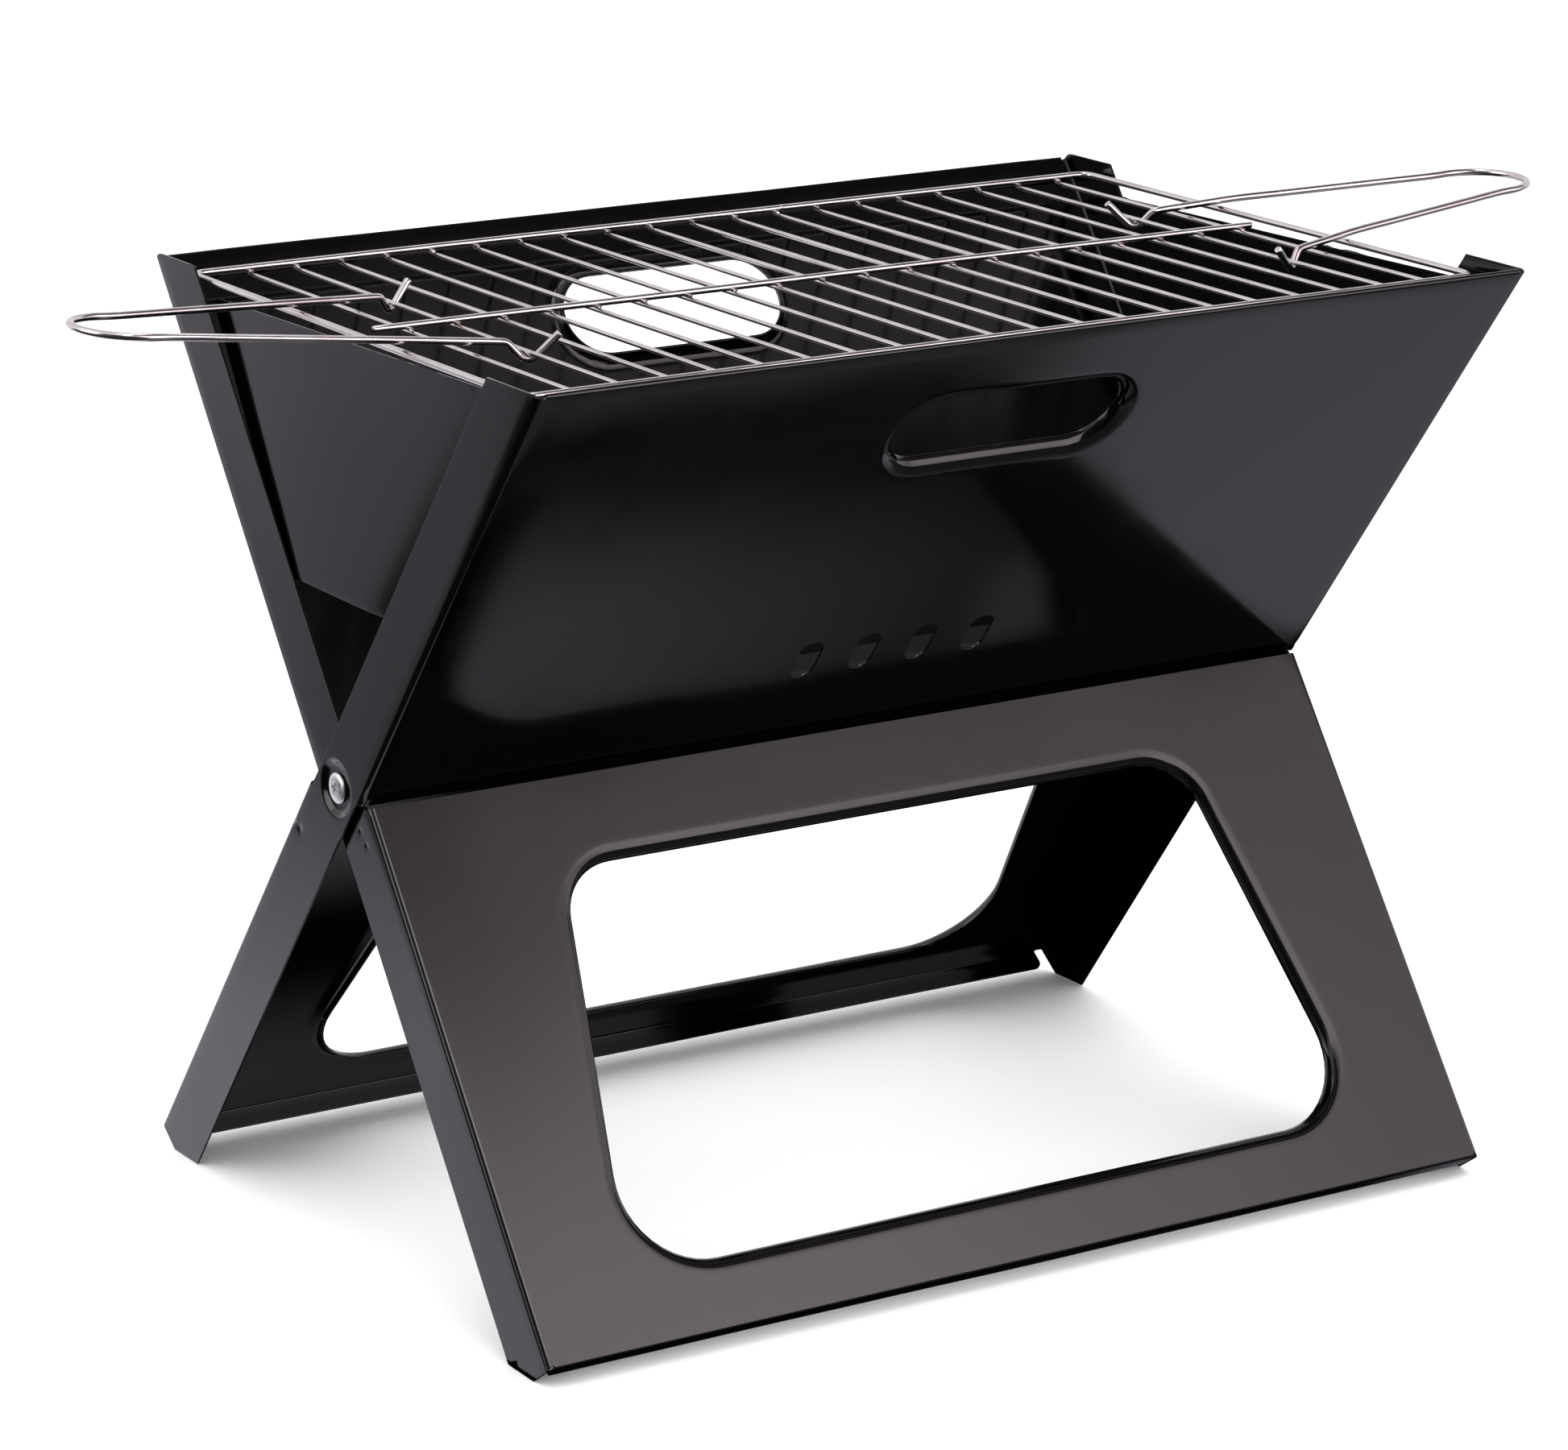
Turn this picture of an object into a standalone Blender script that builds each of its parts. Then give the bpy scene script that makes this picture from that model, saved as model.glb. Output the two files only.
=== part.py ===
"""Folding X-frame camp grill, open and standing.

X runs along the pivot, the front is -Y and Z is up. The origin is on the
ground under the pivot, at the middle of the overall length. Two crossed
sheet-steel frames turn on two pivot bolts; a wire cooking grate with two
hooked wire handles lies in the V.

Sizes are in millimetres and angles in degrees. Each frame has its own axes at
the pivot: local z runs up its slope and local x along the pivot. "Outward" is
the distance across the slope from the middle of the strips, towards the
frame's upper panel.
"""
import math
from collections import namedtuple

import bmesh
import bpy
from mathutils import Matrix, Vector

MM = 0.001
SIDES = ((-1, "left"), (1, "right"))

# ---- driving dimensions ------------------------------------------------------
LEAN = 54.0            # slope of both frames above the ground
PIVOT_Z = 193.8
SHEET = 1.0            # sheet thickness
HALF = 16.4            # the panels' outer faces, from the strips' middle
BEND_R = 2.4           # outer bend radius
GAP = 0.3              # clearance between neighbouring parts
COS_LEAN, SIN_LEAN = math.cos(math.radians(LEAN)), math.sin(math.radians(LEAN))

# upper_side: local y direction of the upper panel; the leg panel is opposite
# half_x:     outer faces of the side strips
# free_edge:  the strips' free edges, on the side away from the panel
# top:        top of the upper panel, along the slope
# bare_from:  outward distance beyond which the strips are cut off below the upper panel
# weld:       spot weld's place along the slope, and its offset towards the leg panel
Frame = namedtuple("Frame", "upper_side half_x free_edge top bare_from weld")
FRONT = Frame(upper_side=-1, half_x=225.0, free_edge=13.7, top=237.2,
              bare_from=HALF - BEND_R, weld=(-37.0, 10.3))
REAR = Frame(upper_side=1, half_x=222.2, free_edge=12.3, top=232.9,
             bare_from=12.3, weld=(-19.5, 2.4))

# ---- finishes ----------------------------------------------------------------
ENAMEL = dict(colour=(0.012, 0.012, 0.013), roughness=0.28, metallic=0.0, coat=0.4)
CHROME = dict(colour=(0.78, 0.78, 0.77), roughness=0.16, metallic=1.0)
ZINC = dict(colour=(0.72, 0.72, 0.70), roughness=0.32, metallic=1.0)
CHARRED = dict(colour=(0.03, 0.03, 0.03), roughness=0.5, metallic=0.0)

# ---- a clean scene -----------------------------------------------------------
for old in list(bpy.data.objects):
    bpy.data.objects.remove(old, do_unlink=True)
parts = bpy.data.collections.new("folding_camp_grill")
cutters = bpy.data.collections.new("cutters")
for group in (parts, cutters):
    bpy.context.scene.collection.children.link(group)
cutters.hide_render = True


def paint(name, colour, roughness, metallic, coat=0.0):
    material = bpy.data.materials.new(name)
    material.use_nodes = True
    shader = material.node_tree.nodes["Principled BSDF"]
    shader.inputs["Base Color"].default_value = (*colour, 1)
    shader.inputs["Roughness"].default_value = roughness
    shader.inputs["Metallic"].default_value = metallic
    shader.inputs["Coat Weight"].default_value = coat
    return material


# ---- objects and booleans ----------------------------------------------------
def add_object(name, data, matrix, collection):
    thing = bpy.data.objects.new(name, data)
    collection.objects.link(thing)
    thing.matrix_world = matrix
    return thing


def finished_mesh(name, bm):
    bmesh.ops.recalc_face_normals(bm, faces=bm.faces)
    mesh = bpy.data.meshes.new(name)
    bm.to_mesh(mesh)
    bm.free()
    return mesh


def add_piece(name, bm, matrix, finish):
    piece = add_object(name, finished_mesh(name, bm), matrix, parts)
    piece.data.materials.append(paint(name, **finish))
    return piece


def combine(piece, operation, suffix, bm):
    """Apply a helper body, drawn in the piece's own axes, as a live boolean."""
    name = piece.name + "_" + suffix
    helper = add_object(name, finished_mesh(name, bm), piece.matrix_world, cutters)
    helper.hide_render = True
    helper.display_type = "WIRE"
    modifier = piece.modifiers.new(operation.lower() + "_" + name, "BOOLEAN")
    modifier.operation = operation
    modifier.solver = "EXACT"
    modifier.object = helper


def join(piece, suffix, bm):
    combine(piece, "UNION", suffix, bm)


def cut(piece, suffix, bm):
    combine(piece, "DIFFERENCE", suffix, bm)


# ---- solids ------------------------------------------------------------------
# Each takes an optional bmesh to add to, and returns the bmesh it drew in.
def place(a, b, level, axis):
    return {"x": (level, a, b), "y": (a, level, b), "z": (a, b, level)}[axis]


def skin(rings, bm):
    """One closed body through equal-length rings of points, in metres."""
    if bm is None:
        bm = bmesh.new()
    rings = [[bm.verts.new(point) for point in ring] for ring in rings]
    count = len(rings[0])
    for low, high in zip(rings, rings[1:]):
        for i in range(count):
            j = (i + 1) % count
            bm.faces.new((low[i], low[j], high[j], high[i]))
    bm.faces.new(rings[0][::-1])
    bm.faces.new(rings[-1])
    return bm


def prism(outline, low, high, axis, bm=None):
    """An outline in the two other axes, in order, drawn from low to high along axis."""
    rings = [[Vector(place(a, b, level, axis)) * MM for a, b in outline] for level in (low, high)]
    return skin(rings, bm)


def loft(outlines, levels, axis, bm=None):
    """A body through equal-length outlines, one at each level along axis."""
    rings = [
        [tuple(value * MM for value in place(a, b, level, axis)) for a, b in outline]
        for outline, level in zip(outlines, levels)
    ]
    return skin(rings, bm)


def turned(side, rows, sides, bm=None):
    """A round body on the x axis through rows of (radius, distance from the middle)."""
    return loft([disc(radius, sides) for radius, _ in rows], [side * x for _, x in rows], "x", bm)


def box(x_range, y_range, z_range, bm=None):
    return prism(rect(*sorted(x_range), *sorted(y_range)), *z_range, "z", bm)


# ---- outlines ----------------------------------------------------------------
def rect(x0, x1, y0, y1):
    return [(x0, y0), (x1, y0), (x1, y1), (x0, y1)]


def disc(radius, sides):
    angles = [2 * math.pi * k / sides for k in range(sides)]
    return [(radius * math.cos(angle), radius * math.sin(angle)) for angle in angles]


def arc(x, y, radius, start, end, steps):
    angles = [math.radians(start + (end - start) * k / steps) for k in range(steps + 1)]
    return [(x + radius * math.cos(angle), y + radius * math.sin(angle)) for angle in angles]


def rounded(corners, radii, segments, grow=0.0):
    """A convex outline (counterclockwise) with each corner rounded, then grown."""
    outline = []
    for i, radius in enumerate(radii):
        corner = Vector(corners[i])
        if radius <= 0:
            outline.append((corner.x, corner.y))
            continue
        back = (Vector(corners[i - 1]) - corner).normalized()
        ahead = (Vector(corners[(i + 1) % len(corners)]) - corner).normalized()
        half = back.angle(ahead) / 2
        centre = corner + (back + ahead).normalized() * (radius / math.sin(half))
        start = corner + back * (radius / math.tan(half)) - centre
        end = corner + ahead * (radius / math.tan(half)) - centre
        first = math.atan2(start.y, start.x)
        last = math.atan2(end.y, end.x)
        while last < first:
            last += 2 * math.pi
        for k in range(segments + 1):
            angle = first + (last - first) * k / segments
            outline.append((centre.x + (radius + grow) * math.cos(angle),
                            centre.y + (radius + grow) * math.sin(angle)))
    return outline


# ---- places on the slopes ----------------------------------------------------
def slope_matrix(frame, x=0.0, outward=0.0):
    """A frame's own axes, moved along the pivot and outward."""
    turn = math.radians(90 - LEAN) * -frame.upper_side
    base = Matrix.Translation((0, 0, PIVOT_Z * MM)) @ Matrix.Rotation(turn, 4, "X")
    return base @ Matrix.Translation((x * MM, frame.upper_side * outward * MM, 0))


def slope_distance(world_z, outward):
    """Distance up the slope at which a line this far outward reaches world_z."""
    return (world_z - PIVOT_Z + COS_LEAN * outward) / SIN_LEAN


def slope_point(distance, outward):
    """World (y, z) of a point on the rear frame; the front frame's y is opposite."""
    return (COS_LEAN * distance + SIN_LEAN * outward,
            PIVOT_Z + SIN_LEAN * distance - COS_LEAN * outward)


# ---- details shared by the pressings -----------------------------------------
SEAM = -14.9           # where the upper and leg pressings meet on each strip
OUTLINE_SPAN = 300.0   # half-length of the prisms that give the strips their shape
OVERRUN = 3.0          # of those prisms, beyond the faces at HALF

# Drawn rims: (depth below the outer face, growth of the outline).
RIM_OUTSIDE = (
    (0.5, 5.7), (0.95, 5.7), (1.35, 4.4), (2.0, 3.1), (3.1, 2.0), (4.4, 1.3), (6.0, 1.0),
)
RIM_INSIDE = (
    (-0.4, 6.2), (0.0, 5.6), (0.3, 4.2), (1.0, 2.6), (2.3, 1.15), (3.8, 0.35), (5.4, 0.0),
    (7.4, 0.0),
)


def channel(frame, panel_side, low, high):
    """A sheet at y = panel_side * HALF, both sides bent through 90 degrees into strips."""
    half_x, free = frame.half_x, frame.free_edge
    bend_x, bend_y = half_x - BEND_R, HALF - BEND_R
    inner_r = BEND_R - SHEET
    profile = [
        *arc(bend_x, bend_y, BEND_R, 0, 90, 5),
        *arc(-bend_x, bend_y, BEND_R, 90, 180, 5),
        (-half_x, -free), (-half_x + SHEET, -free),
        *arc(-bend_x, bend_y, inner_r, 180, 90, 4),
        *arc(bend_x, bend_y, inner_r, 90, 0, 4),
        (half_x - SHEET, -free), (half_x, -free),
    ]
    return prism([(x, panel_side * y) for x, y in profile], low, high, "z")


def keep_outline(panel, frame, outline):
    """Trim a channel to an outline of (outward, z) seen along the pivot."""
    points = [(frame.upper_side * outward, z) for outward, z in outline]
    combine(panel, "INTERSECT", "outline", prism(points, -OUTLINE_SPAN, OUTLINE_SPAN, "x"))


def press_opening(panel, suffix, panel_side, corners, radii, segments, stretch=1.0):
    """Add the collar of a pressed opening, then cut it; stretch scales depth past 1 mm."""
    def body(rows):
        outlines = [rounded(corners, radii, segments, grow) for _, grow in rows]
        depths = [depth if depth < 1 else 1 + (depth - 1) * stretch for depth, _ in rows]
        return loft(outlines, [panel_side * (HALF - depth) for depth in depths], "y")

    join(panel, suffix + "_collar", body(RIM_OUTSIDE))
    cut(panel, suffix + "_opening", body(RIM_INSIDE))


def edge_bar(panel_side, profile, edge_z, half_length):
    """A bar along a panel edge; profile is (depth below outer face, z from the edge)."""
    points = [(panel_side * (HALF - depth), edge_z + z) for depth, z in profile]
    return prism(points, -half_length, half_length, "x")


# ---- upper panels ------------------------------------------------------------
UPPER_STOCK_TOP = 246.0   # top of the untrimmed channel
STRIP_TOP_Z = 376.7       # the strips' level top ends
STRIP_CORNER_R = 3.2
PANEL_BOTTOM = 8.0        # along the slope from the pivot
PANEL_BAND = (HALF - 4.5, HALF + 6.0)   # depth range of the cuts through the panel alone
CORNER_TRIM_TOP = 12.0
CORNER_CLEARANCE = 0.7

SLOT_LENGTH, SLOT_HEIGHT, SLOT_AT = 103.5, 35.0, 185.8
VENT_WIDTH, VENT_HEIGHT, VENT_AT = 13.0, 22.0, 55.0
VENTS, VENT_PITCH = 4, 27.0
END_EASE = 0.01           # keeps a full-round end's radius just under its half-width

# The turned-over top edge: (depth below the outer face, z from the panel's top).
HEM = 11.5
HEM_INSET = 1.4
HEM_PROFILE = (
    (0.5, -HEM), (2.3, -HEM), (2.6, -HEM + 0.5), (2.6, -1.1), (2.2, -0.3), (1.5, 0.1),
    (0.8, -0.05), (0.4, -0.4),
)

PLATE_X = 216.5           # middle of the end plates
PIN_R = 1.25              # hinge wires
FORK_AT = (108.0, 212.0)
FORK_WIDTH, FORK_HALF_HEIGHT, FORK_CLEARANCE = 1.2, 1.5, 0.35
FORK_DEPTHS = (6.5, 0.6)  # below the panel's outer face

BOLT_HOLE_R = 3.1
DISH_R, DISH_FLOOR_R, DISH_DEPTH = 11.5, 8.2, 1.5
# The dish round the pivot: (radius, depth below the strip's outer face).
DISH_BOSS = (
    (DISH_R + 0.6, SHEET / 2), (DISH_R + 0.3, SHEET + 0.2),
    (DISH_FLOOR_R + 0.6, SHEET + DISH_DEPTH),
)
DISH_CUT = (
    (DISH_R + 1.0, -1.0), (DISH_R, 0.0), (DISH_FLOOR_R + 0.5, DISH_DEPTH * 0.8),
    (DISH_FLOOR_R - 0.4, DISH_DEPTH),
)


def trim_upper(panel, frame):
    """Shape the strip ends, and cut the panel's top and bottom edges."""
    low, outer, inner = SEAM - 5, HALF + 0.02, -HALF - OVERRUN
    corners = [(inner, low), (outer, low), (outer, slope_distance(STRIP_TOP_Z, outer)),
               (inner, slope_distance(STRIP_TOP_Z, inner))]
    keep_outline(panel, frame, rounded(corners, [0, 0, STRIP_CORNER_R, 0], 5))

    inside = frame.half_x - SHEET
    band = [frame.upper_side * y for y in PANEL_BAND]
    trims = box((-inside, inside), band, (frame.top, 260))
    box((-inside, inside), band, (SEAM - 20, PANEL_BOTTOM), trims)
    cut(panel, "trims", trims)

    # Below the panel the bend is cut away, and the strip ends in a plain edge.
    beyond = frame.half_x + 2
    bare = (frame.upper_side * frame.bare_from, band[1])
    cut(panel, "edge_trim", box((-beyond, beyond), bare, (SEAM - 20, PANEL_BOTTOM - 0.01)))

    if frame is FRONT:
        # The bottom corners stop short of the other frame's strips.
        corners_cut = bmesh.new()
        for side, _ in SIDES:
            span = (side * (REAR.half_x - SHEET - CORNER_CLEARANCE), side * inside)
            box(span, band, (PANEL_BOTTOM - 2, CORNER_TRIM_TOP), corners_cut)
        cut(panel, "corner_trim", corners_cut)


def open_upper(panel, frame):
    """The long rimmed slot, and the row of plain vents below it."""
    half_length, half_height = SLOT_LENGTH / 2, SLOT_HEIGHT / 2
    corners = rect(-half_length, half_length, SLOT_AT - half_height, SLOT_AT + half_height)
    press_opening(panel, "slot", frame.upper_side, corners, [half_height - END_EASE] * 4, 6)

    vents = bmesh.new()
    half_width, half_height = VENT_WIDTH / 2, VENT_HEIGHT / 2
    levels = sorted(frame.upper_side * (HALF + depth) for depth in (-3, 3))
    for k in range(VENTS):
        x = VENT_PITCH * (k - (VENTS - 1) / 2)
        corners = rect(x - half_width, x + half_width, VENT_AT - half_height,
                       VENT_AT + half_height)
        prism(rounded(corners, [half_width - END_EASE] * 4, 5), *levels, "y", vents)
    cut(panel, "vents", vents)


def add_hinge_forks(panel, frame):
    """Two open forks at each end hold the end plates' hinge wires."""
    forks = bmesh.new()
    depths = [frame.upper_side * (HALF - depth) for depth in FORK_DEPTHS]
    for side, _ in SIDES:
        for at in FORK_AT:
            for edge in (-1, 1):
                x = side * PLATE_X + edge * (PIN_R + FORK_CLEARANCE)
                height = (at - FORK_HALF_HEIGHT, at + FORK_HALF_HEIGHT)
                box((x, x + edge * FORK_WIDTH), depths, height, forks)
    join(panel, "hinge_forks", forks)


def press_dishes(panel, frame):
    """The boss behind each strip, then the hollow cut from it."""
    for apply, suffix, rows in ((join, "dish_boss", DISH_BOSS), (cut, "dish_cut", DISH_CUT)):
        body = bmesh.new()
        for side, _ in SIDES:
            turned(side, [(radius, frame.half_x - depth) for radius, depth in rows], 32, body)
        apply(panel, suffix, body)


def drill_pivot_holes(panel, frame):
    holes = bmesh.new()
    for side, _ in SIDES:
        ends = (side * (frame.half_x - 5), side * (frame.half_x + 3))
        prism(disc(BOLT_HOLE_R, 24), *ends, "x", holes)
    cut(panel, "pivot_holes", holes)


def upper_pressing(name, frame):
    """One upper panel with its two side strips, down past the pivot."""
    stock = channel(frame, frame.upper_side, SEAM, UPPER_STOCK_TOP)
    panel = add_piece(name, stock, slope_matrix(frame), ENAMEL)
    trim_upper(panel, frame)
    open_upper(panel, frame)
    hem_half = frame.half_x - SHEET - HEM_INSET
    join(panel, "hem", edge_bar(frame.upper_side, HEM_PROFILE, frame.top, hem_half))
    if frame is FRONT:
        add_hinge_forks(panel, frame)
        press_dishes(panel, frame)
    drill_pivot_holes(panel, frame)


# ---- leg panels --------------------------------------------------------------
LEG_STOCK_BOTTOM = -262.0  # bottom of the untrimmed channel
LEG_BOTTOM = -241.4
LIP = 10.0                 # the turned-in bottom edge
LIP_INSET, LIP_CORNER_R = 11.0, 4.0
# Rounds the lip's outer edge: (depth below the outer face, z from the bottom).
LIP_EDGE_INSET = 4.0
LIP_EDGE = ((-1, -1), (-1, 0.85), (0, 0.85), (0.25, 0.25), (0.85, 0), (0.85, -1))

WINDOW_TOP, WINDOW_BOTTOM = -51.0, -212.5
WINDOW_HALF_TOP, WINDOW_HALF_BOTTOM = 147.5, 174.5
WINDOW_R_TOP, WINDOW_R_BOTTOM = 25.0, 33.0
WINDOW_STRETCH = 0.95
WELD_R, WELD_DENT = 4.0, 0.4


def add_lip(panel, frame, panel_side):
    half = frame.half_x - LIP_INSET
    low_y, high_y = sorted((panel_side * (HALF - LIP), panel_side * (HALF - 0.5)))
    radii = [LIP_CORNER_R, LIP_CORNER_R, 0, 0]
    if panel_side < 0:
        radii.reverse()
    outline = rounded(rect(-half, half, low_y, high_y), radii, 4)
    join(panel, "lip", prism(outline, LEG_BOTTOM, LEG_BOTTOM + SHEET, "z"))
    edge_half = frame.half_x - LIP_EDGE_INSET
    cut(panel, "lip_edge", edge_bar(panel_side, LIP_EDGE, LEG_BOTTOM, edge_half))


def dent_spot_welds(panel, frame, panel_side):
    dents = bmesh.new()
    along, offset = frame.weld
    for side, _ in SIDES:
        x = side * (frame.half_x + WELD_R - WELD_DENT)
        spot = Matrix.Translation((x * MM, panel_side * offset * MM, along * MM))
        bmesh.ops.create_uvsphere(
            dents, u_segments=16, v_segments=10, radius=WELD_R * MM,
            matrix=spot @ Matrix.Rotation(math.pi / 2, 4, "Y"),
        )
    cut(panel, "spot_welds", dents)


def leg_pressing(name, frame):
    """One windowed leg panel with the lower halves of its two strips."""
    panel_side = -frame.upper_side
    stock = channel(frame, panel_side, LEG_STOCK_BOTTOM, SEAM - GAP)
    panel = add_piece(name, stock, slope_matrix(frame), ENAMEL)

    # The strips' corners are cut level with the ground, from the knee outward.
    far = HALF + OVERRUN
    knee = (SIN_LEAN * LEG_BOTTOM + PIVOT_Z) / COS_LEAN
    keep_outline(panel, frame, [(-far, LEG_BOTTOM), (knee, LEG_BOTTOM),
                                (far, slope_distance(0, far)), (far, 5), (-far, 5)])
    add_lip(panel, frame, panel_side)

    corners = [(-WINDOW_HALF_BOTTOM, WINDOW_BOTTOM), (WINDOW_HALF_BOTTOM, WINDOW_BOTTOM),
               (WINDOW_HALF_TOP, WINDOW_TOP), (-WINDOW_HALF_TOP, WINDOW_TOP)]
    radii = [WINDOW_R_BOTTOM, WINDOW_R_BOTTOM, WINDOW_R_TOP, WINDOW_R_TOP]
    press_opening(panel, "window", panel_side, corners, radii, 8, WINDOW_STRETCH)
    dent_spot_welds(panel, frame, panel_side)


# The front frame's legs stand at the rear, and the rear frame's at the front.
upper_pressing("front_panel", FRONT)
leg_pressing("rear_leg_panel", FRONT)
upper_pressing("rear_panel", REAR)
leg_pressing("front_leg_panel", REAR)

# ---- pivot bolts, washers and nuts -------------------------------------------
BOLT_R, BOLT_HEAD_R, BOLT_HEAD_H = 2.8, 6.2, 1.9
BOLT_END = 214.3                                # distance of the shank's end from the middle
BOLT_SEAT = FRONT.half_x - DISH_DEPTH + 0.2
RECESS_DEPTH, RECESS_ARM, RECESS_HALF = 0.9, 2.6, 0.45   # the cross in the head
WASHER_R, WASHER_T = 6.2, 1.0
NUT_R, NUT_T = 5.2, 4.0
WASHER_FACE = REAR.half_x - SHEET - GAP
NUT_FACE = WASHER_FACE - WASHER_T - GAP
pivot = Matrix.Translation((0, 0, PIVOT_Z * MM))


def pivot_bolt(side, label):
    top = BOLT_SEAT + BOLT_HEAD_H
    rows = (
        (BOLT_R, BOLT_END), (BOLT_R, BOLT_SEAT), (BOLT_HEAD_R, BOLT_SEAT),
        (BOLT_HEAD_R, BOLT_SEAT + 0.9), (BOLT_HEAD_R - 0.7, BOLT_SEAT + 1.5),
        (BOLT_HEAD_R * 0.55, top),
    )
    bolt = add_piece("pivot_bolt_" + label, turned(side, rows, 20), pivot, ZINC)
    arm, half = RECESS_ARM, RECESS_HALF
    cross = [(half, arm), (-half, arm), (-half, half), (-arm, half), (-arm, -half), (-half, -half),
             (-half, -arm), (half, -arm), (half, -half), (arm, -half), (arm, half), (half, half)]
    cut(bolt, "recess", prism(cross, side * (top - RECESS_DEPTH), side * (top + 1), "x"))


def pivot_ring(name, side, outline, face, thickness, hole_end):
    """A washer or nut, from its outer face towards the middle."""
    body = prism(outline, side * face, side * (face - thickness), "x")
    ring = add_piece(name, body, pivot, ZINC)
    hole = prism(disc(BOLT_HOLE_R, 20), side * (WASHER_FACE + 2), side * hole_end, "x")
    cut(ring, "hole", hole)


for side, label in SIDES:
    pivot_bolt(side, label)
    pivot_ring("pivot_washer_" + label, side, disc(WASHER_R, 24), WASHER_FACE, WASHER_T,
               WASHER_FACE - 3)
    pivot_ring("pivot_nut_" + label, side, disc(NUT_R, 6), NUT_FACE, NUT_T, WASHER_FACE - 9)

# ---- end plates and their hinge wires ----------------------------------------
PLATE_T = 0.8
HINGE_OUTWARD = 12.4                 # the hinge axis, on the front frame
PLATE_BACK = HINGE_OUTWARD - 4.0     # the plate's edge nearest the hinge
PLATE_BOTTOM, PLATE_TOP_FRONT, PLATE_TOP_REAR = 267.4, 369.3, 365.1
PLATE_REAR_BOTTOM_Y, PLATE_REAR_TOP_Y = 46.0, 110.0
PLATE_CHAMFER_Y, PLATE_CHAMFER_Z = 4.0, 3.5
KNUCKLE_R, KNUCKLE_BORE = 2.4, 1.6
PIN_SPAN = (103.0, 217.0)
KNUCKLE_SPAN = (116.0, 202.0)


def from_hinge(y, z):
    """World (y, z) in the plate's own axes: across the V, and up the front slope."""
    distance = -COS_LEAN * y + SIN_LEAN * (z - PIVOT_Z)
    outward = -SIN_LEAN * y - COS_LEAN * (z - PIVOT_Z)
    return (HINGE_OUTWARD - outward, distance)


def back_edge_point(z):
    return from_hinge(-slope_point(slope_distance(z, PLATE_BACK), PLATE_BACK)[0], z)


def end_plate(side, label):
    axis = slope_matrix(FRONT, side * PLATE_X, HINGE_OUTWARD)
    add_piece("hinge_wire_" + label, prism(disc(PIN_R, 14), *PIN_SPAN, "z"), axis, ZINC)

    half = PLATE_T / 2
    outline = [
        back_edge_point(PLATE_BOTTOM),
        from_hinge(PLATE_REAR_BOTTOM_Y, PLATE_BOTTOM),
        from_hinge(PLATE_REAR_TOP_Y, PLATE_TOP_REAR - PLATE_CHAMFER_Z),
        from_hinge(PLATE_REAR_TOP_Y - PLATE_CHAMFER_Y, PLATE_TOP_REAR),
        back_edge_point(PLATE_TOP_FRONT),
    ]
    plate = add_piece("end_plate_" + label, prism(outline, -half, half, "x"), axis, ENAMEL)
    leaf = (0, HINGE_OUTWARD - PLATE_BACK + 1.5)
    join(plate, "leaf", box((-half, half), leaf, KNUCKLE_SPAN))
    join(plate, "knuckle", prism(disc(KNUCKLE_R, 20), *KNUCKLE_SPAN, "z"))
    low, high = KNUCKLE_SPAN
    cut(plate, "bore", prism(disc(KNUCKLE_BORE, 16), low - 5, high + 5, "z"))


for side, label in SIDES:
    end_plate(side, label)

# ---- charcoal grate in the bottom of the V -----------------------------------
TRAY_X, TRAY_Z = 212.0, 202.0          # half-length, and underside of the floor
TRAY_T = 1.0
TRAY_OUTWARD = HALF - 1.7              # underside of the wings
WING_TOP = 28.0                        # along the slope
TRAY_SLOTS, TRAY_SLOT_PITCH = 16, 25.0
TRAY_SLOT_HALF_WIDTH, TRAY_SLOT_HALF_LENGTH, TRAY_SLOT_R = 3.0, 13.0, 2.9


def charcoal_grate():
    """A bent sheet, its floor level and its two wings lying on the slopes."""
    half_profile = []
    for outward, floor_z in ((TRAY_OUTWARD, TRAY_Z), (TRAY_OUTWARD - TRAY_T, TRAY_Z + TRAY_T)):
        wing_y, wing_z = slope_point(WING_TOP, outward)
        floor_y = slope_point(slope_distance(floor_z, outward), outward)[0]
        half_profile.append(((floor_y, floor_z - TRAY_Z), (wing_y, wing_z - TRAY_Z)))
    under, upper = half_profile
    right = [*under, *reversed(upper)]
    left = [(-y, z) for y, z in reversed(right)]
    matrix = Matrix.Translation((0, 0, TRAY_Z * MM))
    body = prism(left[-2:] + right + left[:2], -TRAY_X, TRAY_X, "x")
    tray = add_piece("charcoal_grate", body, matrix, CHARRED)

    slots = bmesh.new()
    for k in range(TRAY_SLOTS):
        x = TRAY_SLOT_PITCH * (k - (TRAY_SLOTS - 1) / 2)
        corners = rect(x - TRAY_SLOT_HALF_WIDTH, x + TRAY_SLOT_HALF_WIDTH,
                       -TRAY_SLOT_HALF_LENGTH, TRAY_SLOT_HALF_LENGTH)
        prism(rounded(corners, [TRAY_SLOT_R] * 4, 3), -3, 5, "z", slots)
    cut(tray, "slots", slots)


charcoal_grate()

# ---- cooking grate -----------------------------------------------------------
GRATE_Z = 371.0
GRATE_X, GRATE_Y, GRATE_CORNER_R = 217.5, 129.3, 6.0
RIM_R, BAR_R = 1.4, 1.0
ROD_HALF = 207.0
BARS, BAR_STEP = 20, 20.7
BAR_SHIFT = 5.5        # the bars aren't centred in the rim
BAR_HALF = GRATE_Y + 0.8
BAR_Z = GRATE_Z - RIM_R - BAR_R - GAP


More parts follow.
